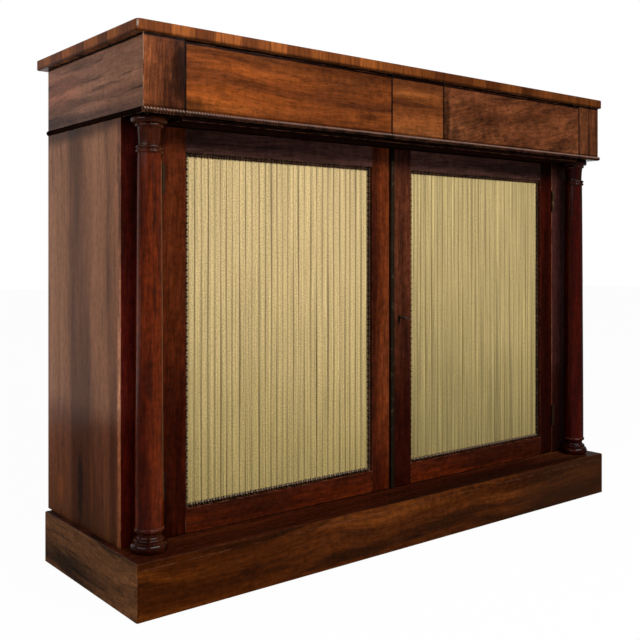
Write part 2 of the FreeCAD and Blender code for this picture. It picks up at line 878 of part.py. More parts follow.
def door_bolt(z):
    """Round bolt with a knob halfway."""
    rod = rod_z(door_bolt_x(), door_bolt_y(), door_bolt_radius, z)
    middle = (z[0] + z[1]) / 2
    neck = door_bolt_y() + door_bolt_radius
    stem_end = neck + bolt_knob_stem
    stem = rod_y(door_bolt_x(), middle, door_bolt_radius / 2, (door_bolt_y(), stem_end))
    knob_y = (stem_end, stem_end + bolt_knob_length)
    knob = rod_y(door_bolt_x(), middle, bolt_knob_radius, knob_y)
    knob = knob.makeChamfer(bolt_knob_chamfer, knob.Edges[:1] + knob.Edges[2:])
    return rod.fuse([stem, knob]).removeSplitter()


def bottom_bolt():
    low = door_bolt_ends()[0]
    return door_bolt((low, low + door_bolt_length))


def top_bolt():
    high = door_bolt_ends()[1]
    return door_bolt((high - door_bolt_length, high))


def bolt_plate(low, high):
    """Plate and two guides that hold one bolt."""
    half = door_bolt_plate_width / 2
    x = (door_bolt_x() - half, door_bolt_x() + half)
    plate = block(x, (door_back_y, door_back_y + door_bolt_plate_thickness), (low, high))
    bore = rod_z(door_bolt_x(), door_bolt_y(), door_bolt_radius + running_clearance,
                 (low - 1, high + 1))
    guide_half = door_bolt_radius + 2
    for z in (low, high - door_bolt_guide_length):
        guide = block((door_bolt_x() - guide_half, door_bolt_x() + guide_half),
                      (door_back_y + door_bolt_plate_thickness, door_bolt_y() + guide_half),
                      (z, z + door_bolt_guide_length))
        plate = plate.fuse(guide)
    return plate.cut(bore).removeSplitter()


def left_door_bolt_plates():
    low, high = door_bolt_ends()
    margin = door_bolt_throw
    lower = bolt_plate(low + 4, low + door_bolt_length - margin)
    upper = bolt_plate(high - door_bolt_length + margin, high - 4)
    return Part.makeCompound([lower, upper])


# ---- drawers (drawn for the right-hand side) -----------------------------------------
drawer_x = (tablet_width / 2 + drawer_gap, opening_x - drawer_gap)
drawer_z = (frieze_underside + drawer_floor_gap, top_underside - drawer_top_gap)
drawer_side_z = (frieze_floor_top + running_clearance, drawer_z[1])
drawer_back_y = back_board_y - drawer_back_space
drawer_bottom_z = (drawer_side_z[0] + drawer_bottom_rise,
                   drawer_side_z[0] + drawer_bottom_rise + drawer_bottom_thickness)


def drawer_bottom_board(grow):
    """Bottom board in its grooves, grown by a clearance for the grooves."""
    x = (drawer_x[0] + drawer_side_thickness - groove_depth - grow,
         drawer_x[1] - drawer_side_thickness + groove_depth + grow)
    y = (frieze_back_y - groove_depth - grow, drawer_back_y)
    return block(x, y, (drawer_bottom_z[0] - grow, drawer_bottom_z[1] + grow))


def dovetails(x, grow):
    """Tails on a drawer side's front end, between x[0] and x[1]."""
    pitch = (drawer_side_z[1] - drawer_side_z[0]) / tail_count
    y0 = frieze_back_y - tail_length
    tails = []
    for index in range(tail_count):
        middle = drawer_side_z[0] + (index + 0.5) * pitch
        wide = pitch * 0.36 + grow
        narrow = wide - tail_slope
        outline = [(y0 - grow, middle - wide), (y0 - grow, middle + wide),
                   (frieze_back_y, middle + narrow), (frieze_back_y, middle - narrow)]
        points = [Vector(x[0], y, z) for y, z in outline]
        face = Part.Face(Part.makePolygon(points + points[:1]))
        tails.append(face.extrude(Vector(x[1] - x[0], 0, 0)))
    return tails


def drawer_side(x):
    """Drawer side, dovetailed into the front and grooved for the bottom."""
    side = block(x, (frieze_back_y, drawer_back_y), drawer_side_z)
    for tail in dovetails(x, 0):
        side = side.fuse(tail)
    return side.removeSplitter().cut(drawer_bottom_board(seat_clearance))


def drawer_side_ranges():
    low, high = drawer_x
    return ((low, low + drawer_side_thickness), (high - drawer_side_thickness, high))


def drawer_sides():
    """Two sides and the back of the right drawer."""
    sides = [drawer_side(x) for x in drawer_side_ranges()]
    inner = (drawer_x[0] + drawer_side_thickness, drawer_x[1] - drawer_side_thickness)
    back = block(inner, (drawer_back_y - drawer_side_thickness, drawer_back_y),
                 (drawer_bottom_z[1] + seat_clearance, drawer_side_z[1]))
    return Part.makeCompound(sides + [back])


def drawer_front():
    """Front of the right drawer, socketed for the sides and grooved for the bottom."""
    front = block(drawer_x, (frieze_y, frieze_back_y - seat_clearance), drawer_z)
    for x in drawer_side_ranges():
        for socket in dovetails((x[0] - seat_clearance, x[1] + seat_clearance), seat_clearance):
            front = front.cut(socket)
    return front.cut(drawer_bottom_board(seat_clearance))


def drawer_moulding():
    """Run of the frieze moulding that is planted on the right drawer's front."""
    lift = block((drawer_x[0] - 1, drawer_x[1] + 1), (frieze_y - 10, frieze_y + 1),
                 (frieze_underside - 1, drawer_z[0]))
    return moulding_run(*drawer_x).cut(lift)


# ---- every node of the assembly ------------------------------------------------------
def nodes():
    parts = {
        "top_board": top_board(),
        "top_crossbanding": top_crossbanding(),
        "frieze_tablet": frieze_tablet(),
        "frieze_end_blocks": both_sides(frieze_end_block()),
        "frieze_floor": frieze_floor(),
        "frieze_rope_moulding": frieze_rope_moulding(),
        "side_beads": both_sides(side_bead()),
        "head_rail": head_rail(),
        "drawer_guides": drawer_guides(),
        "floor_board": floor_board(),
        "shelf": shelf(),
        "shelf_bearers": shelf_bearers(),
        "back_boards": back_boards(),
        "plinth_front": plinth_front(),
        "plinth_sides": plinth_sides(),
        "plinth_back": plinth_back(),
        "plinth_top": plinth_top(),
        "plinth_blocks": plinth_blocks(),
        "post_hinge_leaves": post_hinge_leaves(),
        "left_door_meeting_stile": meeting_stile_left(),
        "right_door_meeting_stile": meeting_stile_right(),
        "strike_plate": strike_plate(),
        "left_door_bolt_plates": left_door_bolt_plates(),
        "left_door_top_bolt": top_bolt(),
        "left_door_bottom_bolt": bottom_bolt(),
        "door_astragal": door_astragal(),
        "lock_case": lock_case(),
        "lock_bolt": lock_bolt(),
        "escutcheon": escutcheon(),
        "key": key(),
    }
    pairs = {
        "frieze_side_{}": frieze_side(),
        "column_{}": column(),
        "side_panel_{}": side_panel(),
        "front_post_{}": front_post(),
        "{}_door_hinge_stile": hinge_stile(),
        "{}_door_top_rail": top_rail(),
        "{}_door_bottom_rail": bottom_rail(),
        "{}_door_beads": door_beads(),
        "{}_door_silk": door_silk(),
        "{}_door_backing": door_backing(),
        "{}_door_hinge_leaves": door_hinge_leaves(),
        "{}_drawer_front": drawer_front(),
        "{}_drawer_moulding": drawer_moulding(),
        "{}_drawer_sides": drawer_sides(),
        "{}_drawer_bottom": drawer_bottom_board(0),
    }
    for pattern, shape in pairs.items():
        parts[pattern.format("right")] = shape
        parts[pattern.format("left")] = mirrored(shape)
    return parts


os.makedirs("parts", exist_ok=True)
for name, shape in nodes().items():
    solids = len(shape.Solids)
    print(f"{name}: {solids} solid(s), {shape.Volume / 1000:.1f} cm3, valid {shape.isValid()}")
    shape.exportStep(f"parts/{name}.step")
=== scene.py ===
# %% [markdown]
# # A rosewood chiffonier with turned columns and pleated silk doors
# The joiner's model is already built and is loaded here as a fixed frame: every board, hinge
# and drawer has its true place. This lesson dresses it. Plain boards keep their solids and get
# wood that looks right; turned, roped, beaded and pleated pieces get finer shapes of their own.

# %% Load the joiner's model
import math

import bmesh
import bpy
import numpy as np
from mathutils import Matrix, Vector


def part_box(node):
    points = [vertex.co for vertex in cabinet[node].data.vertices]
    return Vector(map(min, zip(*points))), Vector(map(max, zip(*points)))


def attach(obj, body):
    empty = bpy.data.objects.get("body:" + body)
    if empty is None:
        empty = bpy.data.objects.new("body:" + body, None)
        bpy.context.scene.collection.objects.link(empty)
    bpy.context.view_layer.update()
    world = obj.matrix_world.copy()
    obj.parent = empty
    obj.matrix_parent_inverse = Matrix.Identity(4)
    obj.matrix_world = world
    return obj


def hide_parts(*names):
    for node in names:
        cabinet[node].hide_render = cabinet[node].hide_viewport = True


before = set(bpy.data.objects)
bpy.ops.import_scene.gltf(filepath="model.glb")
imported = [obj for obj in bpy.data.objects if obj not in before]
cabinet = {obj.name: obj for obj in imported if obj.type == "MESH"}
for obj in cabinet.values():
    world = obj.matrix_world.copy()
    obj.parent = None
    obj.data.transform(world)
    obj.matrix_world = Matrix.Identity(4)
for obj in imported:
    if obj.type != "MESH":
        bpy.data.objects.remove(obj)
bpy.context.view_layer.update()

# %% [markdown]
# ## Camera
# A camera that is tilted makes uprights lean together. This one stays level, a little higher
# than the middle of the doors, and its lens is shifted down until the whole cabinet is in view.

# %% Camera
CAMERA_PLACE = (-1.2312, -1.4281, 0.5601)
CAMERA_TURN = -38.675
FOCAL_LENGTH = 50.589

camera = bpy.data.objects.new("camera", bpy.data.cameras.new("camera"))
bpy.context.scene.collection.objects.link(camera)
camera.location = CAMERA_PLACE
camera.rotation_euler = (math.radians(90), 0, math.radians(CAMERA_TURN))
camera.data.lens = FOCAL_LENGTH
camera.data.sensor_width = 36
camera.data.shift_y = -0.1056
bpy.context.scene.camera = camera
bpy.context.scene.view_settings.view_transform = "Standard"
print("camera at", CAMERA_PLACE, "with a lens of", FOCAL_LENGTH, "mm")

# %% [markdown]
# ## Nodes
# A finish is a small tree of nodes. Writing each tree by hand is long, so `add` makes one node,
# fills in its sockets and links those that are fed by another node. The rest of the lesson is
# then as short as the finishes themselves.

# %% Nodes
def srgb(red, green, blue):
    """A screen colour, 0 to 255, as the linear values that shaders take."""
    screen = np.array((red, green, blue)) / 255
    linear = np.where(screen <= 0.04045, screen / 12.92, ((screen + 0.055) / 1.055) ** 2.4)
    return (*linear.tolist(), 1.0)


def feed(tree, node, inputs):
    """Fills in a node's inputs, each with a value or from the socket that feeds it."""
    for key, value in inputs.items():
        if isinstance(value, bpy.types.NodeSocket):
            tree.links.new(value, node.inputs[key])
        else:
            node.inputs[key].default_value = value


def add(tree, kind, inputs=None, **settings):
    """A new shader node with its inputs filled in."""
    node = tree.nodes.new("ShaderNode" + kind)
    for key, value in settings.items():
        setattr(node, key, value)
    feed(tree, node, inputs or {})
    return node


def new_finish(name):
    """An empty material: its tree and its shader."""
    material = bpy.data.materials.new(name)
    material.use_nodes = True
    print("finish", name)
    return material, material.node_tree, material.node_tree.nodes["Principled BSDF"]


# %% [markdown]
# ## Values and colours
# Four kinds of node do nearly all the work: noise makes figure, arithmetic and a smooth rise
# shape its values, and a mix lays one colour over another.

# %% Values and colours
def noise(tree, where, scale, detail=2.0, roughness=0.5):
    """Cloudy values from 0 to 1, with about scale clouds in a metre."""
    inputs = {"Vector": where, "Scale": scale, "Detail": detail, "Roughness": roughness}
    return add(tree, "TexNoise", inputs).outputs[0]


def maths(tree, how, first, second=0.0, third=0.0):
    """One step of arithmetic on values or sockets, named as the Math node names it."""
    inputs = {0: first, 1: second, 2: third}
    return add(tree, "Math", inputs, operation=how).outputs[0]


def rise(tree, value, low, high, start=0.0, end=1.0):
    """Goes smoothly from start to end while value goes from low to high."""
    inputs = {"Value": value, "From Min": low, "From Max": high, "To Min": start, "To Max": end}
    return add(tree, "MapRange", inputs, interpolation_type="SMOOTHSTEP").outputs[0]


def mix(tree, how, share, below, above):
    """One colour laid over another."""
    inputs = {0: share, 6: below, 7: above}
    return add(tree, "Mix", inputs, data_type="RGBA", blend_type=how).outputs[2]


# %% [markdown]
# ## Where a surface is and how it faces
# Wear, dirt and fading depend on the place: the foot of a post, the underside of a board. Every
# piece here has its origin at the cabinet's, so its own coordinates are places on the cabinet.

# %% Where a surface is and how it faces
def place(tree):
    """Where on the cabinet the surface is, in metres."""
    return add(tree, "TexCoord").outputs["Object"]


def axis_of(tree, where, axis):
    """One coordinate of a place or a direction."""
    return add(tree, "SeparateXYZ", {0: where}).outputs["xyz".index(axis)]


def position(tree, axis):
    """Where on the cabinet the surface is, along one axis."""
    return axis_of(tree, place(tree), axis)


def facing(tree, axis):
    """How much the surface looks along an axis, from -1 to 1."""
    return axis_of(tree, add(tree, "NewGeometry").outputs["Normal"], axis)


# %% [markdown]
# ## Rosewood
# Rosewood is brown with black lines that run with the grain, short dark pores, and slow changes
# from red to brown. All of that is noise stretched along the grain. The stretch must follow the
# board: along x on a drawer front, along z on a stile. Each board has a seed, which takes its
# figure from another place in the noise.

# %% Rosewood
STRETCH = {"x": (0.07, 1, 1), "y": (1, 0.07, 1), "z": (1, 1, 0.07)}
SEED_STEP = (1.7, 2.3, 3.1)
BLACK_LINE = srgb(24, 12, 8)
BLACK_LINES_PER_METRE = 75.0
STREAKS_PER_METRE = 260.0
PORES_PER_METRE = 900.0
CLOUDS_PER_METRE = 90.0


def along_grain(tree, grain, seed, wander=0.02, slant=0.0):
    """Places drawn out along the grain, after the board has been pushed about a little; slant
    turns the grain in the cabinet's front, in degrees."""
    start = add(tree, "Mapping", {0: place(tree), 1: tuple(step * seed for step in SEED_STEP),
                                  2: (0, math.radians(slant), 0)}).outputs[0]
    push = add(tree, "TexNoise", {"Vector": start, "Scale": 4.0, "Detail": 1.0})
    middle = add(tree, "VectorMath", {0: push.outputs["Color"], 1: (0.5, 0.5, 0.5)},
                 operation="SUBTRACT").outputs[0]
    moved = add(tree, "VectorMath", {0: middle, 1: (wander,) * 3, 2: start},
                operation="MULTIPLY_ADD").outputs[0]
    return add(tree, "Mapping", {0: moved, 3: STRETCH[grain]}).outputs[0]


def grey(tree, value):
    """One value as a colour."""
    return add(tree, "CombineColor", {0: value, 1: value, 2: value}).outputs[0]


def grain_colour(tree, grained, tones, lines=0.5, broad=17.0, fine=0.4):
    """Slow bands of a dark, a middle and a light tone, with black lines, mottling, fine streaks
    and pores over them; broad is how many bands there are in a metre."""
    dark, middle, light = tones
    band = noise(tree, grained, broad, 3.0)
    tone = mix(tree, "MIX", rise(tree, band, 0.34, 0.5), dark, middle)
    tone = mix(tree, "MIX", rise(tree, band, 0.5, 0.68), tone, light)
    black = noise(tree, grained, BLACK_LINES_PER_METRE, 5.0, 0.62)
    tone = mix(tree, "MIX", rise(tree, black, 0.47, 0.32, 0.0, lines), tone, BLACK_LINE)
    cloud = noise(tree, place(tree), CLOUDS_PER_METRE, 5.0, 0.75)
    mottle = rise(tree, cloud, 0.3, 0.7, 1 - 0.8 * fine, 1 + 0.8 * fine)
    streak = noise(tree, grained, STREAKS_PER_METRE, 4.0, 0.75)
    streak = rise(tree, streak, 0.3, 0.7, 1 - fine, 1 + fine)
    tone = mix(tree, "MULTIPLY", 1.0, tone, grey(tree, maths(tree, "MULTIPLY", mottle, streak)))
    pore = rise(tree, noise(tree, grained, PORES_PER_METRE), 0.38, 0.30)
    return mix(tree, "MIX", maths(tree, "MULTIPLY", pore, 0.6), tone, BLACK_LINE)


# %% [markdown]
# ## Polish, wear and marks
# The French polish is one more thin gloss over the wood. The wear on the arrises comes from
# comparing the true normal with a rounded one: they differ only near an edge. A mark is the
# distance from a point, made ragged with noise, so that the veneer's figure shows through it.

# %% Polish, wear and marks
ARRIS = 0.0014
PORE_DEPTH = 0.00004
WAVES_PER_METRE = 24.0
WAVE_HEIGHT = 20.0


def bumps(tree, height, strength, depth, normal=None):
    """The normal of a surface with a fine relief, on top of another normal if one is given."""
    inputs = {"Strength": strength, "Distance": depth, "Height": height}
    if normal:
        inputs["Normal"] = normal
    return add(tree, "Bump", inputs).outputs[0]


def polish(tree, shader, grained, colour, worn, gloss=0.2, shine=0.03):
    """Rounded, slightly worn arrises, pores that can be felt, and the polish."""
    rounded = add(tree, "Bevel", {"Radius": ARRIS}, samples=4).outputs[0]
    flat = add(tree, "NewGeometry").outputs["True Normal"]
    alike = add(tree, "VectorMath", {0: rounded, 1: flat}, operation="DOT_PRODUCT")
    patchy = rise(tree, noise(tree, place(tree), 60.0, 3.0), 0.4, 0.6)
    edge = maths(tree, "MULTIPLY", rise(tree, alike.outputs["Value"], 0.995, 0.85), patchy)
    waves = maths(tree, "MULTIPLY", noise(tree, place(tree), WAVES_PER_METRE, 1.0), WAVE_HEIGHT)
    height = maths(tree, "ADD", noise(tree, grained, PORES_PER_METRE), waves)
    uneven = noise(tree, grained, 120.0, 3.0)
    feed(tree, shader, {
        "Base Color": mix(tree, "MIX", maths(tree, "MULTIPLY", edge, 0.75), colour, worn),
        "Roughness": rise(tree, uneven, 0.3, 0.7, gloss - 0.04, gloss + 0.08),
        "Normal": bumps(tree, height, 0.5, PORE_DEPTH, rounded),
        "Specular IOR Level": shine,
    })


def smudge(tree, colour, tint, centre, size, strength=0.8, how="MULTIPLY"):
    """A soft-edged mark; size is its reach from the centre along each axis. A tint multiplies
    what it covers, so under 255 it darkens and over 255 it lightens."""
    away = add(tree, "Mapping", {0: place(tree), 1: centre, 3: size}, vector_type="TEXTURE")
    far = add(tree, "VectorMath", {0: away.outputs[0]}, operation="LENGTH").outputs["Value"]
    uneven = maths(tree, "MULTIPLY", noise(tree, place(tree), 45.0, 4.0), 0.8)
    ragged = maths(tree, "ADD", far, uneven)
    return mix(tree, how, rise(tree, ragged, 1.5, 0.7, 0.0, strength), colour, tint)


# %% [markdown]
# ## One recipe for every board
# Every board of a cabinet was chosen and has aged in its own way. Painting each one would be
# long work. Instead one recipe takes the board's own tones, and a list of what time has done to
# it: tones that change along an axis, marks, and dirt that has gathered in the joints.

# %% One recipe for every board
DIRT = srgb(14, 8, 6)
DIRT_REACH = 0.0026
JOINT_WIDTH = 0.0008
MOST_RAGGED = 0.02


def apart(tree, first, second):
    """How far two values are from each other."""
    return maths(tree, "ABSOLUTE", maths(tree, "SUBTRACT", first, second))


def change_tone(tree, colour, axis, begins, complete, tint):
    """Lays a tint over all that lies past a ragged border across the axis."""
    rough = min(MOST_RAGGED, abs(complete - begins))
    ragged = maths(tree, "MULTIPLY_ADD", noise(tree, place(tree), 14.0, 3.0), rough, -rough / 2)
    reach = maths(tree, "ADD", position(tree, axis), ragged)
    return mix(tree, "MULTIPLY", rise(tree, reach, begins, complete), colour, tint)


def rosewood(name, grain, seed, tones, worn=srgb(130, 80, 54), lines=0.5, broad=17.0, fine=0.4,
             slant=0.0, wander=0.02, changes=(), smudges=(), joints=(), outer=None,
             crest_wear_dust_and_highlight=None, **finish):
    """French polished rosewood, with its figure as along_grain and grain_colour make it. A
    change is an axis, the places along it where a tint begins and is complete, and the tint.
    Joints are the x of the board's ends, where dirt gathers; outer is the tones of the faces
    that look along x. The colour for crests is that of a carving's high places, which the
    carving marks as crest: worn on the rope, dusty on the beads, and on both a painted highlight."""
    material, tree, shader = new_finish(f"{name}_rosewood")
    grained = along_grain(tree, grain, seed, wander, slant)
    colour = grain_colour(tree, grained, tones, lines, broad, fine)
    if outer:
        beside = grain_colour(tree, grained, outer, lines, broad, fine)
        sideways = maths(tree, "ABSOLUTE", facing(tree, "x"))
        colour = mix(tree, "MIX", rise(tree, sideways, 0.5, 0.8), colour, beside)
    for change in changes:
        colour = change_tone(tree, colour, *change)
    for mark in smudges:
        colour = smudge(tree, colour, *mark)
    for joint in joints:
        away = apart(tree, position(tree, "x"), joint)
        dirty = rise(tree, away, DIRT_REACH, JOINT_WIDTH, 0.0, 0.9)
        colour = mix(tree, "MIX", dirty, colour, DIRT)
        worn = mix(tree, "MIX", dirty, worn, DIRT)
    # the crests of a carving are paled: worn on the rope, dusty on the beads, and on both a
    # painted highlight
    if crest_wear_dust_and_highlight:
        crest = add(tree, "Attribute", attribute_name="crest").outputs["Fac"]
        colour = mix(tree, "MIX", crest, colour, crest_wear_dust_and_highlight)
    polish(tree, shader, grained, colour, worn, **finish)
    return material


# %% [markdown]
# ## Woods of the top and the sides
# The left side faced a window and has faded unevenly to grey brown. Its lower part is painted
# darker, as a painted reflection edge, as if the polish above mirrored the bright room; its top
# is painted darker as the shade under the frieze's bead, and its front edge paler, partly wear
# and partly a painted highlight. The right side mirrors it in shape and is kept like it in tone,
# so both use one finish. The marks are placed on the left side only: a mark is a spot in space,
# so it can't show on the other one.

# %% Woods of the top and the sides
SIDE_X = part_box("side_panel_left")[0].x
MARK_DEPTH = 0.05
frieze_low, frieze_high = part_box("frieze_end_blocks")


def below_top(begins, complete, tint):
    """A change of tone that is measured down from the top board."""
    return "z", frieze_high.z - begins, frieze_high.z - complete, tint


def above_foot(begins, complete, tint):
    """A change of tone that is measured up from the foot of the frieze."""
    return "z", frieze_low.z + begins, frieze_low.z + complete, tint


def side_mark(tint, y, z, width, height, strength):
    """A smudge on the left side, through all of the veneer."""
    return tint, (SIDE_X, y, z), (MARK_DEPTH, width, height), strength


# A painted shadow line under the top board, thin, for the end blocks and the frieze's sides.
THIN_TOP_SHADOW = below_top(0.006, 0.003, srgb(56, 46, 42))
# Painted shade under the moulding: the lowest few millimetres of the frieze's faces and their
# undersides.
SHADE_UNDER_FRIEZE = above_foot(0.0025, 0.0005, srgb(50, 40, 36))

top_veneer = rosewood(
    "top", "x", 1, (srgb(70, 40, 24), srgb(112, 66, 40), srgb(140, 86, 52)),
    gloss=0.25, shine=0.02)
frieze_side_veneer = rosewood(
    "frieze_side", "y", 2, (srgb(86, 57, 43), srgb(128, 87, 66), srgb(148, 103, 80)),
    broad=20.0, lines=0.7, fine=0.2, shine=0.02, worn=srgb(196, 160, 140),
    changes=[THIN_TOP_SHADOW, SHADE_UNDER_FRIEZE, above_foot(0.034, 0.016, srgb(186, 190, 200)),
             ("y", -0.12, 0.0, srgb(284, 288, 296))],
    smudges=[side_mark(srgb(330, 308, 304), 0.12, 0.845, 0.11, 0.04, 0.9)])

SIDE_TONES = (srgb(92, 56, 37), srgb(135, 89, 62), srgb(154, 106, 78))
# Painted reflection edge: darker below about 0.3 m, as if the polish above mirrored the bright
# room. Painted shade under the frieze's bead at the top, and a paler front edge, partly wear and
# partly a painted highlight.
SIDE_CHANGES = [("z", 0.32, 0.26, srgb(196, 172, 156)), ("z", 0.2, 0.1, srgb(232, 232, 210)),
                ("z", 0.745, 0.768, srgb(150, 140, 132)),
                ("y", -0.09, -0.112, srgb(322, 316, 318))]
side_veneer = rosewood(
    "side", "z", 3, SIDE_TONES,
    broad=10.0, lines=0.35, fine=0.15, shine=0.03, worn=srgb(160, 112, 88),
    changes=SIDE_CHANGES,
    smudges=[side_mark(srgb(98, 110, 116), 0.035, 0.16, 0.016, 0.08, 0.75),
             side_mark(srgb(310, 290, 268), 0.12, 0.14, 0.02, 0.035, 0.6),
             side_mark(srgb(290, 280, 255), -0.01, 0.17, 0.012, 0.05, 0.6)])

# %% [markdown]
# ## Woods of the frieze's front
# The two drawer fronts, the tablet between them and the blocks at the ends are four cuts of
# veneer in one row, each of another tone; the right drawer's is darker, partly as painted shade
# for light that falls off to the right. Dirt marks the joints between them. A painted shadow
# line runs along under the top board, with dirt and painted shade below it on the drawers and
# the tablet; a dark line of dirt and painted shade runs over the moulding, and painted shade
# lies under it. Hands have darkened some corners, and rubbed other places paler.

# %% Woods of the frieze's front
# A wider painted shadow line under the top board, for the drawers and the tablet.
WIDE_TOP_SHADOW = below_top(0.010, 0.007, srgb(56, 46, 42))
# Below it the fronts are darker, with dirt and painted shade from the top's overhang.
DIRT_AND_SHADE_BELOW_TOP = below_top(0.032, 0.016, srgb(182, 180, 188))
DULL_FOOT = above_foot(0.030, 0.018, srgb(226, 228, 240))
# A dark line just over the moulding, of dirt and painted shade.
DIRT_AND_SHADE_OVER_MOULDING = above_foot(0.0135, 0.0115, srgb(184, 174, 170))


def front_mark(tint, x, z, width, height, strength=0.8):
    """A smudge on the frieze's front, through all of the veneer."""
    return tint, (x, frieze_low.y, z), (width, MARK_DEPTH, height), strength


def ends_of(node):
    """The x of a board's two ends."""
    low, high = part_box(node)
    return low.x, high.x


end_block_veneer = rosewood(
    "end_block", "z", 4, (srgb(56, 25, 12), srgb(93, 48, 25), srgb(121, 66, 35)),
    worn=srgb(210, 160, 126), lines=0.65, wander=0.03, joints=ends_of("head_rail"),
    changes=[("x", 0.4, 0.5, srgb(214, 224, 234)), THIN_TOP_SHADOW, DIRT_AND_SHADE_OVER_MOULDING, SHADE_UNDER_FRIEZE],
    smudges=[front_mark(srgb(84, 88, 112), -0.526, 0.845, 0.017, 0.08),
             front_mark(srgb(340, 340, 320), -0.578, 0.868, 0.013, 0.03, 0.7)])
left_drawer_veneer = rosewood(
    "left_drawer", "x", 5, (srgb(92, 44, 17), srgb(126, 62, 22), srgb(150, 79, 30)),
    lines=0.4, fine=0.3, wander=0.035, joints=ends_of("left_drawer_front"),
    changes=[WIDE_TOP_SHADOW, DIRT_AND_SHADE_BELOW_TOP, DULL_FOOT, DIRT_AND_SHADE_OVER_MOULDING, SHADE_UNDER_FRIEZE,
             ("x", -0.46, -0.2, srgb(212, 216, 240))],
    smudges=[front_mark(srgb(136, 142, 160), -0.505, 0.79, 0.05, 0.02, 0.85),
             front_mark(srgb(300, 300, 280), -0.43, 0.858, 0.09, 0.018, 0.7),
             front_mark(srgb(146, 157, 200), -0.17, 0.862, 0.11, 0.02, 0.5),
             front_mark(srgb(117, 123, 170), -0.13, 0.808, 0.035, 0.010, 0.6)])
tablet_veneer = rosewood(
    "tablet", "x", 6, (srgb(78, 38, 16), srgb(114, 61, 28), srgb(134, 78, 37)),
    fine=0.3, joints=ends_of("frieze_tablet"),
    changes=[WIDE_TOP_SHADOW, DIRT_AND_SHADE_BELOW_TOP, DULL_FOOT, DIRT_AND_SHADE_OVER_MOULDING, SHADE_UNDER_FRIEZE],
    smudges=[front_mark(srgb(310, 320, 300), 0.0, 0.857, 0.08, 0.014),
             front_mark(srgb(89, 88, 109), 0.073, 0.83, 0.009, 0.09)])
# The right drawer's tones are darker, partly as painted shade for light that falls off to the
# right.
right_drawer_veneer = rosewood(
    "right_drawer", "x", 7, (srgb(64, 32, 16), srgb(94, 51, 28), srgb(112, 66, 37)),
    lines=0.6, slant=12.0, wander=0.06, joints=ends_of("right_drawer_front"),
    changes=[WIDE_TOP_SHADOW, DIRT_AND_SHADE_OVER_MOULDING, SHADE_UNDER_FRIEZE],
    smudges=[front_mark(srgb(98, 95, 100), 0.079, 0.82, 0.013, 0.09),
             front_mark(srgb(180, 176, 180), 0.17, 0.83, 0.10, 0.05),
             front_mark(srgb(310, 312, 306), 0.43, 0.868, 0.11, 0.028, 0.85),
             front_mark(srgb(160, 166, 190), 0.10, 0.795, 0.035, 0.02),
             front_mark(srgb(190, 190, 200), 0.47, 0.80, 0.05, 0.02)])

# %% [markdown]
# ## Woods of the doors and the posts
# The doors stand back in their recess, so light has faded them least and they are the reddest
# and darkest pieces. Each stile is one straight piece with its own tone, and most of them darken
# towards the foot. The top rails and the tops of two stiles are painted darker as the shade under
# the frieze, and the right hinge stile is darker, partly as painted shade. A post shows two
# faces:
# its front is painted darker than the doors, partly as the shade behind its column, and its outer
# face continues the side.

# %% Woods of the doors and the posts
stile_wood = rosewood(
    "door_stile", "z", 8, (srgb(40, 13, 4), srgb(70, 27, 9), srgb(86, 38, 16)),
    changes=[("z", 0.5, 0.25, srgb(196, 160, 140))])
warm_stile_wood = rosewood(
    "warm_stile", "z", 29, (srgb(48, 16, 6), srgb(88, 37, 14), srgb(104, 50, 22)),
    changes=[("z", 0.3, 0.1, srgb(190, 160, 150))])
# The top of this stile is painted darker as the shade under the frieze.
shaded_stile_wood = rosewood(
    "shaded_stile", "z", 28, (srgb(46, 19, 9), srgb(77, 38, 22), srgb(90, 50, 32)),
    changes=[("z", 0.55, 0.2, srgb(142, 96, 84)), ("z", 0.68, 0.76, srgb(160, 160, 190))])
# The right hinge stile is darker, partly as painted shade for light that falls off to the right,
# and its top is painted darker as the shade under the frieze.
dark_stile_wood = rosewood(
    "dark_stile", "z", 18, (srgb(28, 5, 2), srgb(46, 10, 4), srgb(59, 16, 6)),
    changes=[("z", 0.68, 0.76, srgb(130, 170, 220))])
rail_wood = rosewood(
    "door_rail", "x", 9, (srgb(48, 16, 6), srgb(79, 27, 8), srgb(98, 40, 14)),
    worn=srgb(150, 100, 76))
# The top rails are the bottom rails' wood, painted darker and greyer as the shade under the
# frieze.
shaded_top_rail_wood = rosewood(
    "door_top_rail", "x", 9, (srgb(40, 24, 20), srgb(60, 37, 32), srgb(76, 49, 43)))
# A post's front is painted darker than the doors, partly as the shade behind its column; the
# right post's most of all.
post_wood = rosewood(
    "post", "z", 10, (srgb(36, 7, 4), srgb(56, 12, 7), srgb(68, 19, 11)),
    outer=SIDE_TONES, changes=SIDE_CHANGES)
right_post_wood = rosewood(
    "right_post", "z", 30, (srgb(24, 10, 9), srgb(38, 18, 16), srgb(48, 25, 22)),
    outer=SIDE_TONES, changes=SIDE_CHANGES)

# %% [markdown]
# ## Woods of the turned and carved pieces
# The columns carry the deepest gloss, because polish was put on them in the lathe; the right one
# is painted darker, partly as shade for light that falls off to the right. The carved mouldings
# are nearly black, and their crests are paler: worn on the rope, dusty on the beads, and on both
# a painted highlight. The rail behind the moulding is painted near black as its shade, and it and
# the beads on the sides hardly shine at all; the side beads' pale worn arrises are partly a
# painted highlight.

# %% Woods of the turned and carved pieces
TURNED_DARK = srgb(180, 204, 230)

# The capital and the base are darker wood; the right column is painted darker, partly as shade
# for light that falls off to the right.
turned_wood = rosewood(
    "turned", "z", 11, (srgb(26, 3, 1), srgb(53, 10, 1), srgb(82, 28, 6)),
    gloss=0.12, shine=0.16,
    changes=[("z", 0.708, 0.722, TURNED_DARK), ("z", 0.135, 0.118, TURNED_DARK),
             ("x", -0.4, 0.4, srgb(212, 152, 150))])
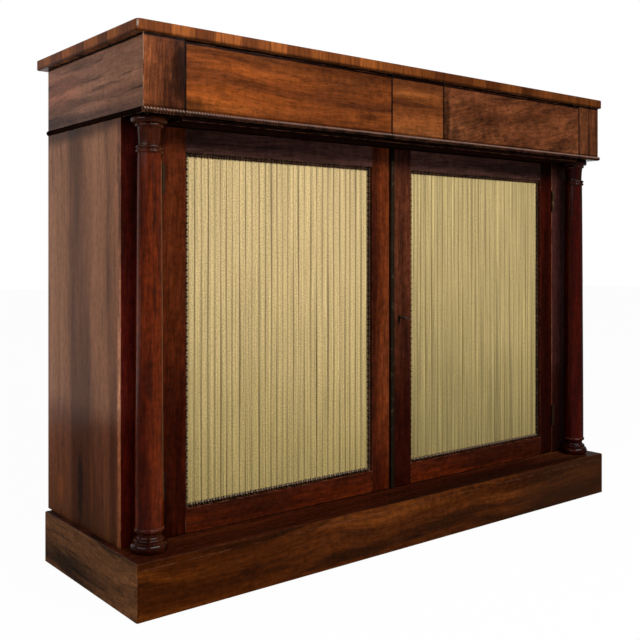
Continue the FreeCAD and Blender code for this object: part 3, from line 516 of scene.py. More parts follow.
# Nearly black, its crests paled with wear and a painted highlight.
moulding_wood = rosewood(
    "moulding", "x", 12, (srgb(22, 10, 6), srgb(32, 15, 9), srgb(46, 23, 14)),
    crest_wear_dust_and_highlight=srgb(160, 130, 116))
# The rail behind and under the moulding is painted near black as shade.
shaded_head_rail_wood = rosewood(
    "head_rail", "x", 17, (srgb(16, 7, 5), srgb(22, 10, 7), srgb(30, 14, 9)),
    gloss=0.6, shine=0.0)
# Near black, and its pale worn arrises stand partly as a painted highlight along the top.
side_bead_wood = rosewood(
    "side_bead", "y", 27, (srgb(16, 8, 5), srgb(24, 12, 8), srgb(34, 17, 11)),
    gloss=0.5, shine=0.0, worn=srgb(170, 124, 104))
# Its crests are paled with dust and a painted highlight.
bead_wood = rosewood(
    "bead", "z", 16, (srgb(26, 16, 11), srgb(38, 25, 17), srgb(50, 34, 24)),
    shine=0.1, crest_wear_dust_and_highlight=srgb(150, 132, 108))

# %% [markdown]
# ## The top's crossbanded edge
# The edge of the top is covered by short pieces of veneer set with their grain upright. Each
# piece was cut from another place, so each has its own tone: a random value held for the length
# of a piece. Front and sides share one run, because x + y changes along each of them.

# %% The top's crossbanded edge
PIECES_PER_METRE = 26.0
UNEVEN_PIECES = 2.4
band_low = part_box("top_crossbanding")[0]
CHIP = (srgb(200, 182, 164), (band_low.x, band_low.y, band_low.z + 0.012),
        (0.0045, 0.0045, 0.009), 0.9, "MIX")


def lot(tree, number):
    """A random value from 0 to 1 for each whole number."""
    return add(tree, "TexWhiteNoise", {"W": number}, noise_dimensions="1D").outputs["Value"]


def crossbanding(name, seed):
    """Short upright pieces, their lower edge painted darker as shade under the top, a chipped
    corner, and painted shade towards the right.
    """
    material, tree, shader = new_finish(name)
    grained = along_grain(tree, "z", seed, wander=0.005)
    run = maths(tree, "ADD", position(tree, "x"), position(tree, "y"))
    along = add(tree, "CombineXYZ", {0: run}).outputs[0]
    uneven = maths(tree, "MULTIPLY", noise(tree, along, 9.0, 1.0), UNEVEN_PIECES)
    count = maths(tree, "ADD", maths(tree, "MULTIPLY", run, PIECES_PER_METRE), uneven)
    piece = lot(tree, maths(tree, "FLOOR", count))
    tone = mix(tree, "MIX", piece, srgb(98, 49, 20), srgb(154, 85, 36))
    fine = noise(tree, grained, STREAKS_PER_METRE, 4.0, 0.7)
    tone = mix(tree, "MIX", rise(tree, fine, 0.58, 0.35, 0.0, 0.6), tone, srgb(52, 26, 14))
    # painted shade: the lower edge darkened, which widens the shadow line under the top
    shade_under_edge = rise(tree, position(tree, "z"), band_low.z + 0.0005, band_low.z + 0.0055, 0.35, 1.0)
    shaded = rise(tree, position(tree, "x"), -0.5, 0.4, 1.05, 0.42)
    tone = mix(tree, "MULTIPLY", 1.0, tone, grey(tree, maths(tree, "MULTIPLY", shade_under_edge, shaded)))
    polish(tree, shader, grained, smudge(tree, tone, *CHIP), srgb(196, 146, 108), shine=0.02)
    return material


edge_veneer = crossbanding("crossbanded_edge", 19)

# %% [markdown]
# ## The plinth's veneers
# The plinth's front and sides are veneered right up to the arris, over the edge of the ledge
# board, while the ledge itself is laid along x. One finish can serve all of its boards if it
# asks which way the surface faces and takes that face's veneer. Feet have dulled the front: its
# figure dies away towards the right end, and the left end is greyer.

# %% The plinth's veneers
FRONT_TONES = (srgb(41, 18, 6), srgb(70, 32, 9), srgb(98, 50, 16))
BESIDE_TONES = (srgb(48, 30, 17), srgb(92, 58, 34), srgb(124, 80, 46))
LEDGE_TONES = (srgb(34, 12, 5), srgb(54, 20, 8), srgb(74, 32, 12))
DULL_BAND = (srgb(186, 176, 160), (0.2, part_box("plinth_front")[0].y, 0.07),
             (0.28, MARK_DEPTH, 0.022), 0.9)


def plinth_front(tree, grained):
    """The front's veneer, with what feet have done to it."""
    colour = grain_colour(tree, grained, FRONT_TONES, 0.55, 24.0, 0.3)
    plain = rise(tree, position(tree, "x"), 0.2, 0.42, 0.0, 0.75)
    colour = mix(tree, "MIX", plain, colour, srgb(38, 20, 10))
    colour = smudge(tree, colour, *DULL_BAND)
    dull = rise(tree, position(tree, "x"), -0.2, -0.5)
    return mix(tree, "MULTIPLY", dull, colour, srgb(212, 201, 176))


def plinth_veneers(name):
    """The veneer of the front, of the sides or of the ledge, as the surface faces."""
    material, tree, shader = new_finish(name)
    grained = along_grain(tree, "x", 13, wander=0.05)
    beside = grain_colour(tree, along_grain(tree, "y", 14, wander=0.04), BESIDE_TONES,
                          0.7, 22.0, 0.3)
    above = grain_colour(tree, along_grain(tree, "x", 15), LEDGE_TONES, 0.4)
    lighter_share = rise(tree, position(tree, "x"), 0.35, 0.6)
    above = mix(tree, "MULTIPLY", lighter_share, above, srgb(320, 360, 350))
    sideways = maths(tree, "ABSOLUTE", facing(tree, "x"))
    colour = mix(tree, "MIX", rise(tree, sideways, 0.5, 0.8), plinth_front(tree, grained), beside)
    colour = mix(tree, "MIX", rise(tree, facing(tree, "z"), 0.5, 0.8), colour, above)
    polish(tree, shader, grained, colour, srgb(122, 80, 60), gloss=0.22, shine=0.02)
    return material


plinth_wood = plinth_veneers("plinth_rosewood")

# %% [markdown]
# ## Back boards and their nails
# The five back boards are one node, so their finish tells them apart: it counts boards along x,
# gives each its own tone, and draws the seams between them and the rusty nails. Real seams would
# be cut in the solid, but the boards touch, and only dirt shows where.

# %% Back boards and their nails
RUST = srgb(40, 26, 20)
NAIL_ROWS = (0.102, 0.448, 0.885)
NAIL_HEAD = 0.002
RUST_REACH = 0.006
NAIL_INSET = 0.2


def distance(tree, across, up):
    """How far a surface is from a spot that lies that far across and up from it."""
    spot = add(tree, "CombineXYZ", {0: across, 1: up}).outputs[0]
    return add(tree, "VectorMath", {0: spot}, operation="LENGTH").outputs["Value"]


def nailed(tree, colour, across):
    """Rusty nail heads at each row's height, where across is nothing."""
    for row in NAIL_ROWS:
        away = distance(tree, across, maths(tree, "SUBTRACT", position(tree, "z"), row))
        rusty = rise(tree, away, RUST_REACH, NAIL_HEAD, 0.0, 0.85)
        colour = mix(tree, "MIX", rusty, colour, RUST)
    return colour


def side_by_side(tree, tone, pitch):
    """Boards along x, one every pitch, each with a tone of its own, a dark seam at its edges
    and nails a fifth of the way in from them."""
    count = maths(tree, "ADD", maths(tree, "DIVIDE", position(tree, "x"), pitch), 0.5)
    board = rise(tree, lot(tree, maths(tree, "FLOOR", count)), 0.0, 1.0, 0.7, 1.1)
    tone = mix(tree, "MULTIPLY", 1.0, tone, grey(tree, board))
    edge = maths(tree, "PINGPONG", count, 0.5)
    tone = mix(tree, "MIX", rise(tree, edge, 0.008, 0.004, 0.0, 0.9), tone, DIRT)
    return nailed(tree, tone, maths(tree, "MULTIPLY_ADD", edge, pitch, -NAIL_INSET * pitch))


# %% [markdown]
# ## Plain timber
# The parts that polish never reached: pine inside the carcass and oak in the drawers, pale, dry
# and open in the grain. They need far less than rosewood does: growth lines, dust and fine pores.

# %% Plain timber
# Near black, painted as the shade on an underside.
UNDERSIDE_SHADE = srgb(26, 13, 9)
BACK_BOARDS = 5


def plain_timber(name, grain, seed, dark, light, shaded_below=False, shine=0.25, pitch=None):
    """Planed and unfinished, with growth lines and a dry surface. Asked to, it paints the
    underside near black as shade, where it can be seen; pitch is the width of boards that lie
    side by side."""
    material, tree, shader = new_finish(name)
    grained = along_grain(tree, grain, seed, wander=0.04)
    growth = noise(tree, grained, 85.0, 4.0, 0.6)
    tone = mix(tree, "MIX", rise(tree, growth, 0.3, 0.7), light, dark)
    dust = rise(tree, noise(tree, place(tree), 9.0, 4.0), 0.45, 0.7, 0.0, 0.35)
    tone = mix(tree, "MULTIPLY", dust, tone, srgb(150, 130, 110))
    if pitch:
        tone = side_by_side(tree, tone, pitch)
    # painted shade: the underside near black
    if shaded_below:
        tone = mix(tree, "MIX", rise(tree, facing(tree, "z"), -0.5, -0.8), tone, UNDERSIDE_SHADE)
    feed(tree, shader, {
        "Base Color": tone,
        "Roughness": rise(tree, growth, 0.3, 0.7, 0.62, 0.8),
        "Normal": bumps(tree, noise(tree, grained, 500.0), 0.3, 0.0004),
        "Specular IOR Level": shine,
    })
    return material


PINE = (srgb(162, 120, 74), srgb(192, 152, 102))
DULL_PINE = (srgb(152, 112, 70), srgb(182, 142, 94))
OAK = (srgb(146, 112, 72), srgb(174, 138, 94))
back_left, back_right = ends_of("back_boards")

pine_along_x = plain_timber("carcass_pine", "x", 21, *PINE)
# The frieze floor, its underside painted near black as shade.
underside_shaded_pine = plain_timber("underside_shaded_pine", "x", 26, *PINE, shaded_below=True, shine=0.0)
pine_along_y = plain_timber("guide_pine", "y", 23, *PINE)
pine_along_z = plain_timber("block_pine", "z", 20, *DULL_PINE)
back_pine = plain_timber("back_pine", "z", 22, *DULL_PINE,
                         pitch=(back_right - back_left) / BACK_BOARDS)
oak_along_y = plain_timber("drawer_oak", "y", 24, *OAK)
oak_along_x = plain_timber("drawer_bottom_oak", "x", 25, *OAK)

# %% [markdown]
# ## Screw heads
# The hinges' screws are too small to be worth a shape each, so the finish of the leaves draws
# their heads. The height is folded over and over, which repeats one screw up each leaf.

# %% Screw heads
HINGE_HEIGHT = 0.045
SCREW_PITCH = HINGE_HEIGHT / 3
SCREW_RADIUS = 0.0027
SCREW_INSET = 0.006
leaves_low, leaves_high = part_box("post_hinge_leaves")


def screw_heads(tree, colour):
    """Three slotted heads in each hinge leaf, let in flush: a dark rim and a dark slot."""
    height = position(tree, "z")
    upper = maths(tree, "GREATER_THAN", height, (leaves_low.z + leaves_high.z) / 2)
    foot = maths(tree, "MULTIPLY_ADD", upper, leaves_high.z - HINGE_HEIGHT - leaves_low.z,
                 leaves_low.z)
    swing = maths(tree, "PINGPONG", maths(tree, "SUBTRACT", height, foot), SCREW_PITCH / 2)
    up = maths(tree, "SUBTRACT", SCREW_PITCH / 2, swing)
    across = maths(tree, "SUBTRACT", position(tree, "y"), leaves_high.y - SCREW_INSET)
    away = distance(tree, across, up)
    rim = rise(tree, apart(tree, away, SCREW_RADIUS), 0.0005, 0.0002)
    slot = rise(tree, maths(tree, "ABSOLUTE", across), 0.0005, 0.0003)
    slot = maths(tree, "MULTIPLY", slot, maths(tree, "LESS_THAN", away, SCREW_RADIUS))
    return mix(tree, "MIX", maths(tree, "MAXIMUM", rim, slot), colour, DIRT)


# %% [markdown]
# ## Metals
# Brass that has gone dull, and an iron key. Handling keeps metal bright in places, and tarnish
# covers the rest, so a metal is two tones, patchy noise between them, and fine scratches.

# %% Metals
def old_metal(name, bright, tarnish, gloss, cover, screwed=False):
    """Metal that is bright in places; cover is how much of it is tarnished."""
    material, tree, shader = new_finish(name)
    patch = rise(tree, noise(tree, place(tree), 70.0, 5.0, 0.65), 0.62 - cover, 0.75 - cover)
    colour = mix(tree, "MIX", patch, bright, tarnish)
    if screwed:
        colour = screw_heads(tree, colour)
    feed(tree, shader, {
        "Base Color": colour,
        "Roughness": maths(tree, "MULTIPLY_ADD", patch, 0.2, gloss),
        "Normal": bumps(tree, noise(tree, place(tree), 900.0), 0.12, 0.0003),
        "Metallic": 1.0,
    })
    return material


brass = old_metal("old_brass", srgb(176, 140, 80), srgb(96, 72, 42), gloss=0.3, cover=0.2)
dull_brass = old_metal("dull_brass", srgb(84, 70, 46), srgb(44, 34, 24), gloss=0.42, cover=0.3)
hinge_brass = old_metal("hinge_brass", srgb(112, 92, 58), srgb(58, 44, 30), gloss=0.4,
                        cover=0.3, screwed=True)
iron = old_metal("dull_iron", srgb(110, 104, 98), srgb(58, 48, 42), gloss=0.38, cover=0.2)

# %% [markdown]
# ## Finishes for the boards that keep their solids
# A board that the joiner's model already has right needs no new shape, only its finish.

# %% Finishes for the boards that keep their solids
FINISHES = [
    (top_veneer, ["top_board"]),
    (edge_veneer, ["top_crossbanding"]),
    (frieze_side_veneer, ["frieze_side_left", "frieze_side_right"]),
    (side_veneer, ["side_panel_left", "side_panel_right"]),
    (end_block_veneer, ["frieze_end_blocks"]),
    (left_drawer_veneer, ["left_drawer_front"]),
    (right_drawer_veneer, ["right_drawer_front"]),
    (tablet_veneer, ["frieze_tablet"]),
    (shaded_head_rail_wood, ["head_rail"]),
    (side_bead_wood, ["side_beads"]),
    (post_wood, ["front_post_left"]),
    (right_post_wood, ["front_post_right"]),
    (stile_wood, ["left_door_hinge_stile"]),
    (warm_stile_wood, ["left_door_meeting_stile"]),
    (shaded_stile_wood, ["right_door_meeting_stile"]),
    (dark_stile_wood, ["right_door_hinge_stile"]),
    (rail_wood, ["left_door_bottom_rail", "right_door_bottom_rail"]),
    (shaded_top_rail_wood, ["left_door_top_rail", "right_door_top_rail"]),
    (plinth_wood, ["plinth_front", "plinth_sides", "plinth_top"]),
    (pine_along_x, ["floor_board", "shelf", "plinth_back"]),
    (underside_shaded_pine, ["frieze_floor"]),
    (pine_along_y, ["drawer_guides", "shelf_bearers"]),
    (back_pine, ["back_boards"]),
    (pine_along_z, ["plinth_blocks", "left_door_backing", "right_door_backing"]),
    (oak_along_y, ["left_drawer_sides", "right_drawer_sides"]),
    (oak_along_x, ["left_drawer_bottom", "right_drawer_bottom"]),
    (brass, ["left_door_bolt_plates", "left_door_top_bolt", "left_door_bottom_bolt",
             "strike_plate", "lock_case", "lock_bolt"]),
    (dull_brass, ["door_astragal", "escutcheon"]),
    (hinge_brass, ["post_hinge_leaves", "left_door_hinge_leaves", "right_door_hinge_leaves"]),
    (iron, ["key"]),
]


def put_on(node, finish):
    """The board's own slots all take the one finish."""
    mesh = cabinet[node].data
    if not mesh.materials:
        mesh.materials.append(finish)
    for index in range(len(mesh.materials)):
        mesh.materials[index] = finish


for finish, boards in FINISHES:
    for board in boards:
        put_on(board, finish)
print(sum(len(boards) for finish, boards in FINISHES), "boards finished")

# %% [markdown]
# ## Surfaces from grids
# Every new piece below is a grid of points worked out with numpy in one go. One helper turns a
# grid into a mesh: it joins neighbours into four-sided faces, welds the points that meet at a
# seam or a pole, and turns the faces outwards.

# %% Surfaces from grids
def grid_faces(rows, columns):
    """Corner numbers of the four-sided faces of a grid of rows by columns points."""
    first = np.arange(rows - 1)[:, None] * columns + np.arange(columns - 1)[None, :]
    return np.stack((first, first + 1, first + columns + 1, first + columns), -1).reshape(-1, 4)


def surface(name, grids, finish, body, stands_for, crease=35, crests=None):
    """One piece from one or more grids of points, closed where its points meet, in place of the
    solid stands_for. Edges sharper than crease stay sharp; crests holds how pale each point is
    painted, from 0 to 1: wear on the rope, dust on the beads, and on both a painted highlight."""
    points, faces, count = [], [], 0
    for grid in grids:
        points.append(grid.reshape(-1, 3))
        faces.append(grid_faces(*grid.shape[:2]) + count)
        count += grid.shape[0] * grid.shape[1]
    mesh = bpy.data.meshes.new(name)
    mesh.from_pydata(np.concatenate(points).tolist(), [], np.concatenate(faces).tolist())
    if crests:
        crest = mesh.attributes.new("crest", "FLOAT", "POINT")
        crest.data.foreach_set("value", np.concatenate([c.ravel() for c in crests]))
    shape = bmesh.new()
    shape.from_mesh(mesh)
    bmesh.ops.remove_doubles(shape, verts=shape.verts, dist=1e-6)
    bmesh.ops.recalc_face_normals(shape, faces=shape.faces)
    shape.to_mesh(mesh)
    shape.free()
    mesh.shade_smooth()
    mesh.set_sharp_from_angle(angle=math.radians(crease))
    mesh.materials.append(finish)
    piece = bpy.data.objects.new(name, mesh)
    bpy.context.scene.collection.objects.link(piece)
    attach(piece, body)
    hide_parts(stands_for)
    print(name, len(mesh.polygons), "faces")


# %% [markdown]
# ## Columns
# A column comes off the lathe, so it is an outline turned about an axis: two rounds and a hollow
# at the foot, a plain shaft that hardly swells, two fine rings, a neck and a flat cap. The shaft
# could be a stack of cylinders, but the small curves are what catch the light. The curves are
# set on top of each other, and the shaft takes the height that they leave.

# %% Columns
PEG = 0.010
RELIEF = 0.0017
CURVE_STEPS = 9
TURN_STEPS = 96


def curve_up(low_radius, high_radius, swell, height):
    """Radius and height from low_radius to high_radius, bulged by a half wave of swell."""
    angle = np.linspace(0, np.pi, CURVE_STEPS)
    share = (1 - np.cos(angle)) / 2
    radius = low_radius + (high_radius - low_radius) * share + swell * np.sin(angle)
    return np.stack((radius, height * share), -1)


def ring(crest, relief, height):
    """A half round that stands out by relief as far as the radius crest."""
    return curve_up(crest - relief, crest - relief, relief, height)


def plain(radius, height):
    """A straight stretch of one radius."""
    return np.array([(radius, 0), (radius, height)])


BASE = [
    ring(0.0305, 0.0050, 0.0155),                # great round
    ring(0.0252, 0.0018, 0.0060),                # lesser round
    curve_up(0.0227, 0.0227, -0.0030, 0.0100),   # hollow
    ring(0.0244, RELIEF, 0.0060),                # ring at the shaft's foot
]
HEAD = [
    ring(0.0229, RELIEF, 0.0050),                # lower fine ring
    plain(0.0212, 0.0015),                       # between the two
    ring(0.0229, RELIEF, 0.0050),                # upper fine ring
    curve_up(0.0184, 0.0204, -0.0005, 0.0290),   # neck
    ring(0.0237, RELIEF, 0.0060),                # collar
    ring(0.0300, 0.0035, 0.0110),                # cap
]


def column_outline(peg_low, foot, cap_top, peg_high):
    """The outline from the axis at one peg's end to the axis at the other's."""
    carved = sum(curve[-1, 1] for curve in BASE + HEAD)
    shaft = curve_up(0.0226, 0.0197, 0.0004, cap_top - foot - carved)
    curves = [*BASE, shaft, *HEAD]
    lows = foot + np.cumsum([0] + [curve[-1, 1] for curve in curves[:-1]])
    lower_peg = [(0, peg_low), (PEG, peg_low), (PEG, foot)]
    upper_peg = [(PEG, cap_top), (PEG, peg_high), (0, peg_high)]
    turning = [curve + (0, low) for curve, low in zip(curves, lows)]
    return np.concatenate((lower_peg, *turning, upper_peg))


def turned(axis, outline):
    """x = axis + r cos a, y = axis + r sin a, z as the outline, for a all the way round."""
    angle = np.linspace(0, 2 * np.pi, TURN_STEPS + 1)
    radius, height = outline[:, :1], outline[:, 1:]
    x = axis.x + radius * np.cos(angle)
    y = axis.y + radius * np.sin(angle)
    return np.stack((x, y, height + 0 * x), -1)


for side in ("left", "right"):
    low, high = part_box(f"column_{side}")
    outline = column_outline(low.z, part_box("plinth_top")[1].z, frieze_low.z, high.z)
    surface(f"turned_column_{side}", [turned((low + high) / 2, outline)], turned_wood, "carcass",
            f"column_{side}")

# %% [markdown]
# ## Runs with closed ends
# The carved mouldings and the beaded strips are both a half-round section carried along a line.
# A run needs closed ends, or it would be an open skin and not a piece of wood.

# %% Runs with closed ends
BACK = 2 * np.pi


def closed_run(along, section_along, section_out, place_of):
    """Rings of a section set along a line, with both ends drawn in to a point."""
    across = np.broadcast_to(section_along, section_out.shape)
    length = np.broadcast_to(along[:, None], section_out.shape)
    grid = place_of(length, across, section_out)
    first = np.broadcast_to(grid[:1].mean(1, keepdims=True), grid[:1].shape)
    last = np.broadcast_to(grid[-1:].mean(1, keepdims=True), grid[-1:].shape)
    return np.concatenate((first, grid, last))


def half_round(steps):
    """Angles round the front of a half-round section, and then BACK, its flat."""
    return np.append(np.linspace(0, np.pi, steps), BACK)


def with_ends(values):
    """Values for closed_run's rings, with a zero row at each end."""
    blank = np.zeros_like(values[:1])
    return np.concatenate((blank, values, blank)).astype(np.float32)


# %% [markdown]
# ## Roped moulding
# Under the drawers runs a half-round moulding cut like a twisted rope. Each strand is one bump of
# a wave, and the wave slides along the moulding as the section turns from its foot to its top,
# which slants the strands. A texture could draw the strands, but only real ones break the light.
# The drawers carry their own lengths of it, so the run is cut where they begin and end.

# %% Roped moulding
STRAND = 0.0055
STRAND_SAMPLES = 10
ROPE_STEPS = 11
STRAND_SLANT = 0.45
CUT_DEPTH = 0.75
# the side of the strands that is paled, with wear and a painted highlight where light falls from
# above
WORN_AND_LIT_SIDE = 1.0
DRAWER_GAP = 0.001


def roped(node, low_x, high_x):
    """Half-round of the node's height and depth; depth dips between slanted strands. Only the
    middle of each strand is paled, on the side that faces up and out: wear, and a painted
    highlight where the light falls."""
    low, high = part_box(node)
    count = round((high_x - low_x) / STRAND)
    along = np.linspace(0, 1, count * STRAND_SAMPLES + 1)[:, None]
    turn = half_round(ROPE_STEPS)[None, :]
    ridge = np.abs(np.sin(np.pi * (along * count + STRAND_SLANT * np.cos(turn))))
    depth = (high.y - low.y) * np.sin(turn) * (1 - CUT_DEPTH * (1 - ridge) ** 1.3)
    depth = np.where(turn == BACK, 0, depth)
    middle, half = (low.z + high.z) / 2, (high.z - low.z) / 2
    # the strand crests' wear, kept to the side that faces up as a painted highlight
    upper = np.exp(-((turn - WORN_AND_LIT_SIDE) / 0.36) ** 2)
    worn = np.clip((ridge - 0.5) / 0.4, 0, 1) ** 2 * upper

    def lay(length, across, out):
        """x along the moulding, y out from its back, z across it."""
        return np.stack((low_x + (high_x - low_x) * length, high.y - out, middle + across), -1)

    return closed_run(along[:, 0], half * np.cos(turn), depth, lay), with_ends(worn)


def rope(name, runs, body, stands_for):
    """One piece from one or more roped runs, in place of the plain moulding."""
    grids, crests = zip(*runs)
    surface(name, grids, moulding_wood, body, stands_for, crease=60,
            crests=crests)


drawer_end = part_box("right_drawer_front")[1].x + DRAWER_GAP
fixed_runs = [(frieze_low.x, -drawer_end), ends_of("frieze_tablet"),
              (drawer_end, frieze_high.x)]
rope("rope_on_frieze", [roped("frieze_rope_moulding", *run) for run in fixed_runs], "carcass",
     "frieze_rope_moulding")
for side in ("left", "right"):
    moulding = f"{side}_drawer_moulding"
    rope(f"rope_on_{side}_drawer", [roped(moulding, *ends_of(moulding))], f"{side}_drawer",
         moulding)

# %% [markdown]
# ## Bead-and-reel strips
# Round each silk panel runs a strip turned into oval beads, with a reel between each two. Its
# radius is a repeating wave along the strip: the largest of a bead, a reel and a thin core. The
# beads are paled on the side the light falls on, most of all on the bottom strip: dust there,
# and a painted highlight.

# %% Bead-and-reel strips
BEAD_PITCH = 0.0113
BEAD_SAMPLES = 16
BEAD_STEPS = 9
BEAD_HALF = 0.0037
REEL = 0.9
CORE = 0.45
# the side of the beads that is paled with dust and a painted highlight, where light falls
DUST_AND_HIGHLIGHT_SIDE = 0.87
bead_low, bead_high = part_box("right_door_beads")


def bead_radius(along):
    """1 at the crest of each bead, REEL at the reels and CORE in the gaps."""
    share = along % 1.0
    bead = np.sqrt(np.clip(1 - ((share - 0.5) / 0.3) ** 2, 0, 1))
    reels = REEL * (np.minimum(share, 1 - share) < 0.1)
    return np.maximum.reduce((bead, reels, np.full_like(share, CORE)))


def beaded(start, end, upright, dust_and_highlight):
    """A half-round strip in the door's plane whose width and depth follow bead_radius. The upper
    side of its beads, and on an upright strip their right side, is paled with dust and a
    painted highlight."""
    depth = bead_high.y - bead_low.y
    length = np.linalg.norm(np.subtract(end, start))
    count = round(length / BEAD_PITCH)
    along = np.linspace(0, 1, count * BEAD_SAMPLES + 1)
    turn = half_round(BEAD_STEPS)[None, :]
    size = bead_radius(along * count)[:, None]
    out = np.where(turn == BACK, 0, depth * size * np.sin(turn))
    # dust, and a painted highlight on the beads' lit side
    dust = dust_and_highlight * np.clip((size - 0.8) / 0.1, 0, 1) * np.exp(-((turn - DUST_AND_HIGHLIGHT_SIDE) / 0.4) ** 2)

    def lay(share, across, out_by):
        """x and z along the strip and across it, y out from its back."""
        run = BEAD_HALF * size * across
        x = start[0] + (end[0] - start[0]) * share + (run if upright else 0)
        z = start[1] + (end[1] - start[1]) * share + (0 if upright else run)
        return np.stack((x, bead_high.y - out_by, z), -1)

    return closed_run(along, np.cos(turn), out, lay), with_ends(dust)


for side in ("left", "right"):
    low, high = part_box(f"{side}_door_beads")
    x0, x1 = low.x + BEAD_HALF, high.x - BEAD_HALF
    z0, z1 = low.z + BEAD_HALF, high.z - BEAD_HALF
    strips = [beaded((x0, low.z), (x0, high.z), upright=True, dust_and_highlight=0.3),
              beaded((x1, low.z), (x1, high.z), upright=True, dust_and_highlight=0.3),
              beaded((x0 + BEAD_HALF, z0), (x1 - BEAD_HALF, z0), upright=False, dust_and_highlight=0.8),
              beaded((x0 + BEAD_HALF, z1), (x1 - BEAD_HALF, z1), upright=False, dust_and_highlight=0.0)]
    grids, crests = zip(*strips)
    surface(f"{side}_door_bead_and_reel", grids, bead_wood, f"{side}_door",
            f"{side}_door_beads", crease=50, crests=crests)

# %% [markdown]
# ## Silk
# Old silk is finely creased and full of slubs, the thick places in its threads. Slubs and
# creases follow the cloth and not the cabinet, so they read the cut cloth's own flat map,
# stretched upwards for the creases. Painted light reads the place on the cabinet: the silk is
# shaded at its foot and lit towards its top, unevenly.

# %% Silk
WEFT_PER_METRE = 2600.0
WARP_PER_METRE = 2200.0
DRAWN_UP = (1.0, 0.005, 1.0)


def silk(name, seed, lit, shaded, fold, streaky):
    """A fine weave with slubs, with painted light: shaded at the foot and lit towards the top,
    unevenly. The folds are darker with dust and painted shade. The cloth itself says how deep
    in a fold each point is, as fold."""
    material, tree, shader = new_finish(name)
    cloth = add(tree, "Mapping", {0: add(tree, "UVMap", uv_map="cut").outputs[0],
                                  1: (seed, seed, 0)}).outputs[0]
    # painted light: from the shaded tone low down to the lit tone higher up, unevenly
    cloudy = noise(tree, place(tree), 7.0 + seed, 3.0)
    lighter_share = maths(tree, "MULTIPLY_ADD", cloudy, 0.25, position(tree, "z"))
    tone = mix(tree, "MIX", rise(tree, lighter_share, 0.25, 0.75), shaded, lit)
    drawn = add(tree, "Mapping", {0: cloth, 3: DRAWN_UP}).outputs[0]
    crease = rise(tree, noise(tree, drawn, 420.0, 4.0, 0.8), 0.3, 0.7, 1 - streaky, 1 + streaky)
    slub = rise(tree, noise(tree, cloth, 380.0, 3.0, 0.85), 0.3, 0.7, 0.58, 1.42)
    tone = mix(tree, "MULTIPLY", 1.0, tone, grey(tree, maths(tree, "MULTIPLY", crease, slub)))
    # the folds darkened with dust and painted shade
    deep = add(tree, "Attribute", attribute_name="fold").outputs["Fac"]
    threads = maths(tree, "ADD", noise(tree, cloth, WEFT_PER_METRE, 1.0),
                    noise(tree, drawn, WARP_PER_METRE, 1.0))
    feed(tree, shader, {
        "Base Color": mix(tree, "MIX", deep, tone, fold),
        "Normal": bumps(tree, threads, 0.25, 0.0003),
        "Roughness": 0.62,
        "Specular IOR Level": 0.2,
        "Sheen Weight": 0.06,
    })
    return material


left_silk = silk("left_silk", 1, lit=srgb(186, 162, 112), shaded=srgb(155, 136, 84),
                 fold=srgb(66, 42, 2), streaky=0.36)
# The right panel's tones are darker, partly as painted shade for light that falls off to the
# right.
right_silk = silk("right_silk", 2, lit=srgb(167, 147, 98), shaded=srgb(138, 122, 75),
                  fold=srgb(104, 84, 34), streaky=0.5)

# %% [markdown]
# ## Pleats
# The silk is laid in knife pleats on its backing board: a flat face, a fold back under it, and a
# fold forward under the next. That makes about twice the panel's width of cloth. Each pleat is
# the same short path in plan, and the whole panel is that path drawn upwards, with every fold
# wandering a little, because silk that hangs for years never stays ruled. The path is written as
# corner points for one pleat; the third number at each says how deep in a fold it is.

# %% Pleats
# share of the pleat's width, depth behind the front of the cloth in metres, darkness of dust and
# painted shade
PLEAT_PATH = np.array([(0.00, 0.0009, 1.0), (0.07, 0.0004, 0.8), (0.13, 0.0, 0.1),
                       (0.50, 0.0001, 0.0), (0.84, 0.0, 0.0), (0.94, 0.0002, 0.15),
                       (1.00, 0.0007, 0.8), (0.94, 0.0011, 1.0), (0.66, 0.0012, 1.0),
                       (0.62, 0.0016, 1.0), (0.66, 0.0020, 1.0), (0.95, 0.0014, 1.0)])
ROWS = 49
SLOW_SWAY = 0.0007
QUICK_SWAY = 0.0004
HELD_EDGE = 0.02
SLACK = 0.0003
BILLOW = 0.0002


def pleated(node, pleat, uneven, faintest, seed):
    """The plan path repeated for every pleat and drawn upwards: x = path + two slow waves that
    die away at the panel's edges, y = depth + a slow billow. Pleats differ in width by uneven,
    and in how dark their folds are, down to faintest. Gives the grid, how dark each point is,
    and its distance along the cut cloth."""
    low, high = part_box(node)
    width = high.x - low.x
    random = np.random.default_rng(seed)
    count, steps = round(width / pleat), len(PLEAT_PATH)
    widths = random.uniform(1 - uneven, 1 + uneven, count)
    starts = np.concatenate(([0], np.cumsum(widths))) * width / widths.sum()
    share = PLEAT_PATH[:, 0][None, :]
    x = (starts[:-1, None] + np.diff(starts)[:, None] * share).ravel()
    behind = np.tile(PLEAT_PATH[:, 1], count)
    strength = np.repeat(random.uniform(faintest, 1, count), steps)
    up = np.linspace(0, 1, ROWS)[:, None]
    slow = np.repeat(random.uniform(0, 2 * np.pi, count), steps)[None, :]
    sway = SLOW_SWAY * np.sin(2 * np.pi * up * 0.9 + slow)
    sway = sway + QUICK_SWAY * np.sin(7 * up + 2 * slow)
    free = np.clip(np.minimum(x, width - x) / HELD_EDGE, 0, 1) * np.sin(np.pi * up) ** 0.5
    lie = low.x + x + sway * free
    depth = low.y + SLACK + behind + BILLOW * np.sin(5 * up + slow)
    grid = np.stack((lie, depth, low.z + (high.z - low.z) * up + 0 * lie), -1)
    # how dark each point is painted in its fold, with dust and painted shade
    dark = np.tile(PLEAT_PATH[:, 2], count) * strength * (0.85 + 0.15 * np.sin(4 * up + slow))
    lengths = np.linalg.norm(np.diff(grid[0], axis=0), axis=1)
    return grid, dark, np.concatenate(([0], np.cumsum(lengths)))


# %% [markdown]
# ## Silk panels
# Each door holds one panel of silk, stretched over its backing board. Its map says where each
# point lies on the cloth when it lies flat.

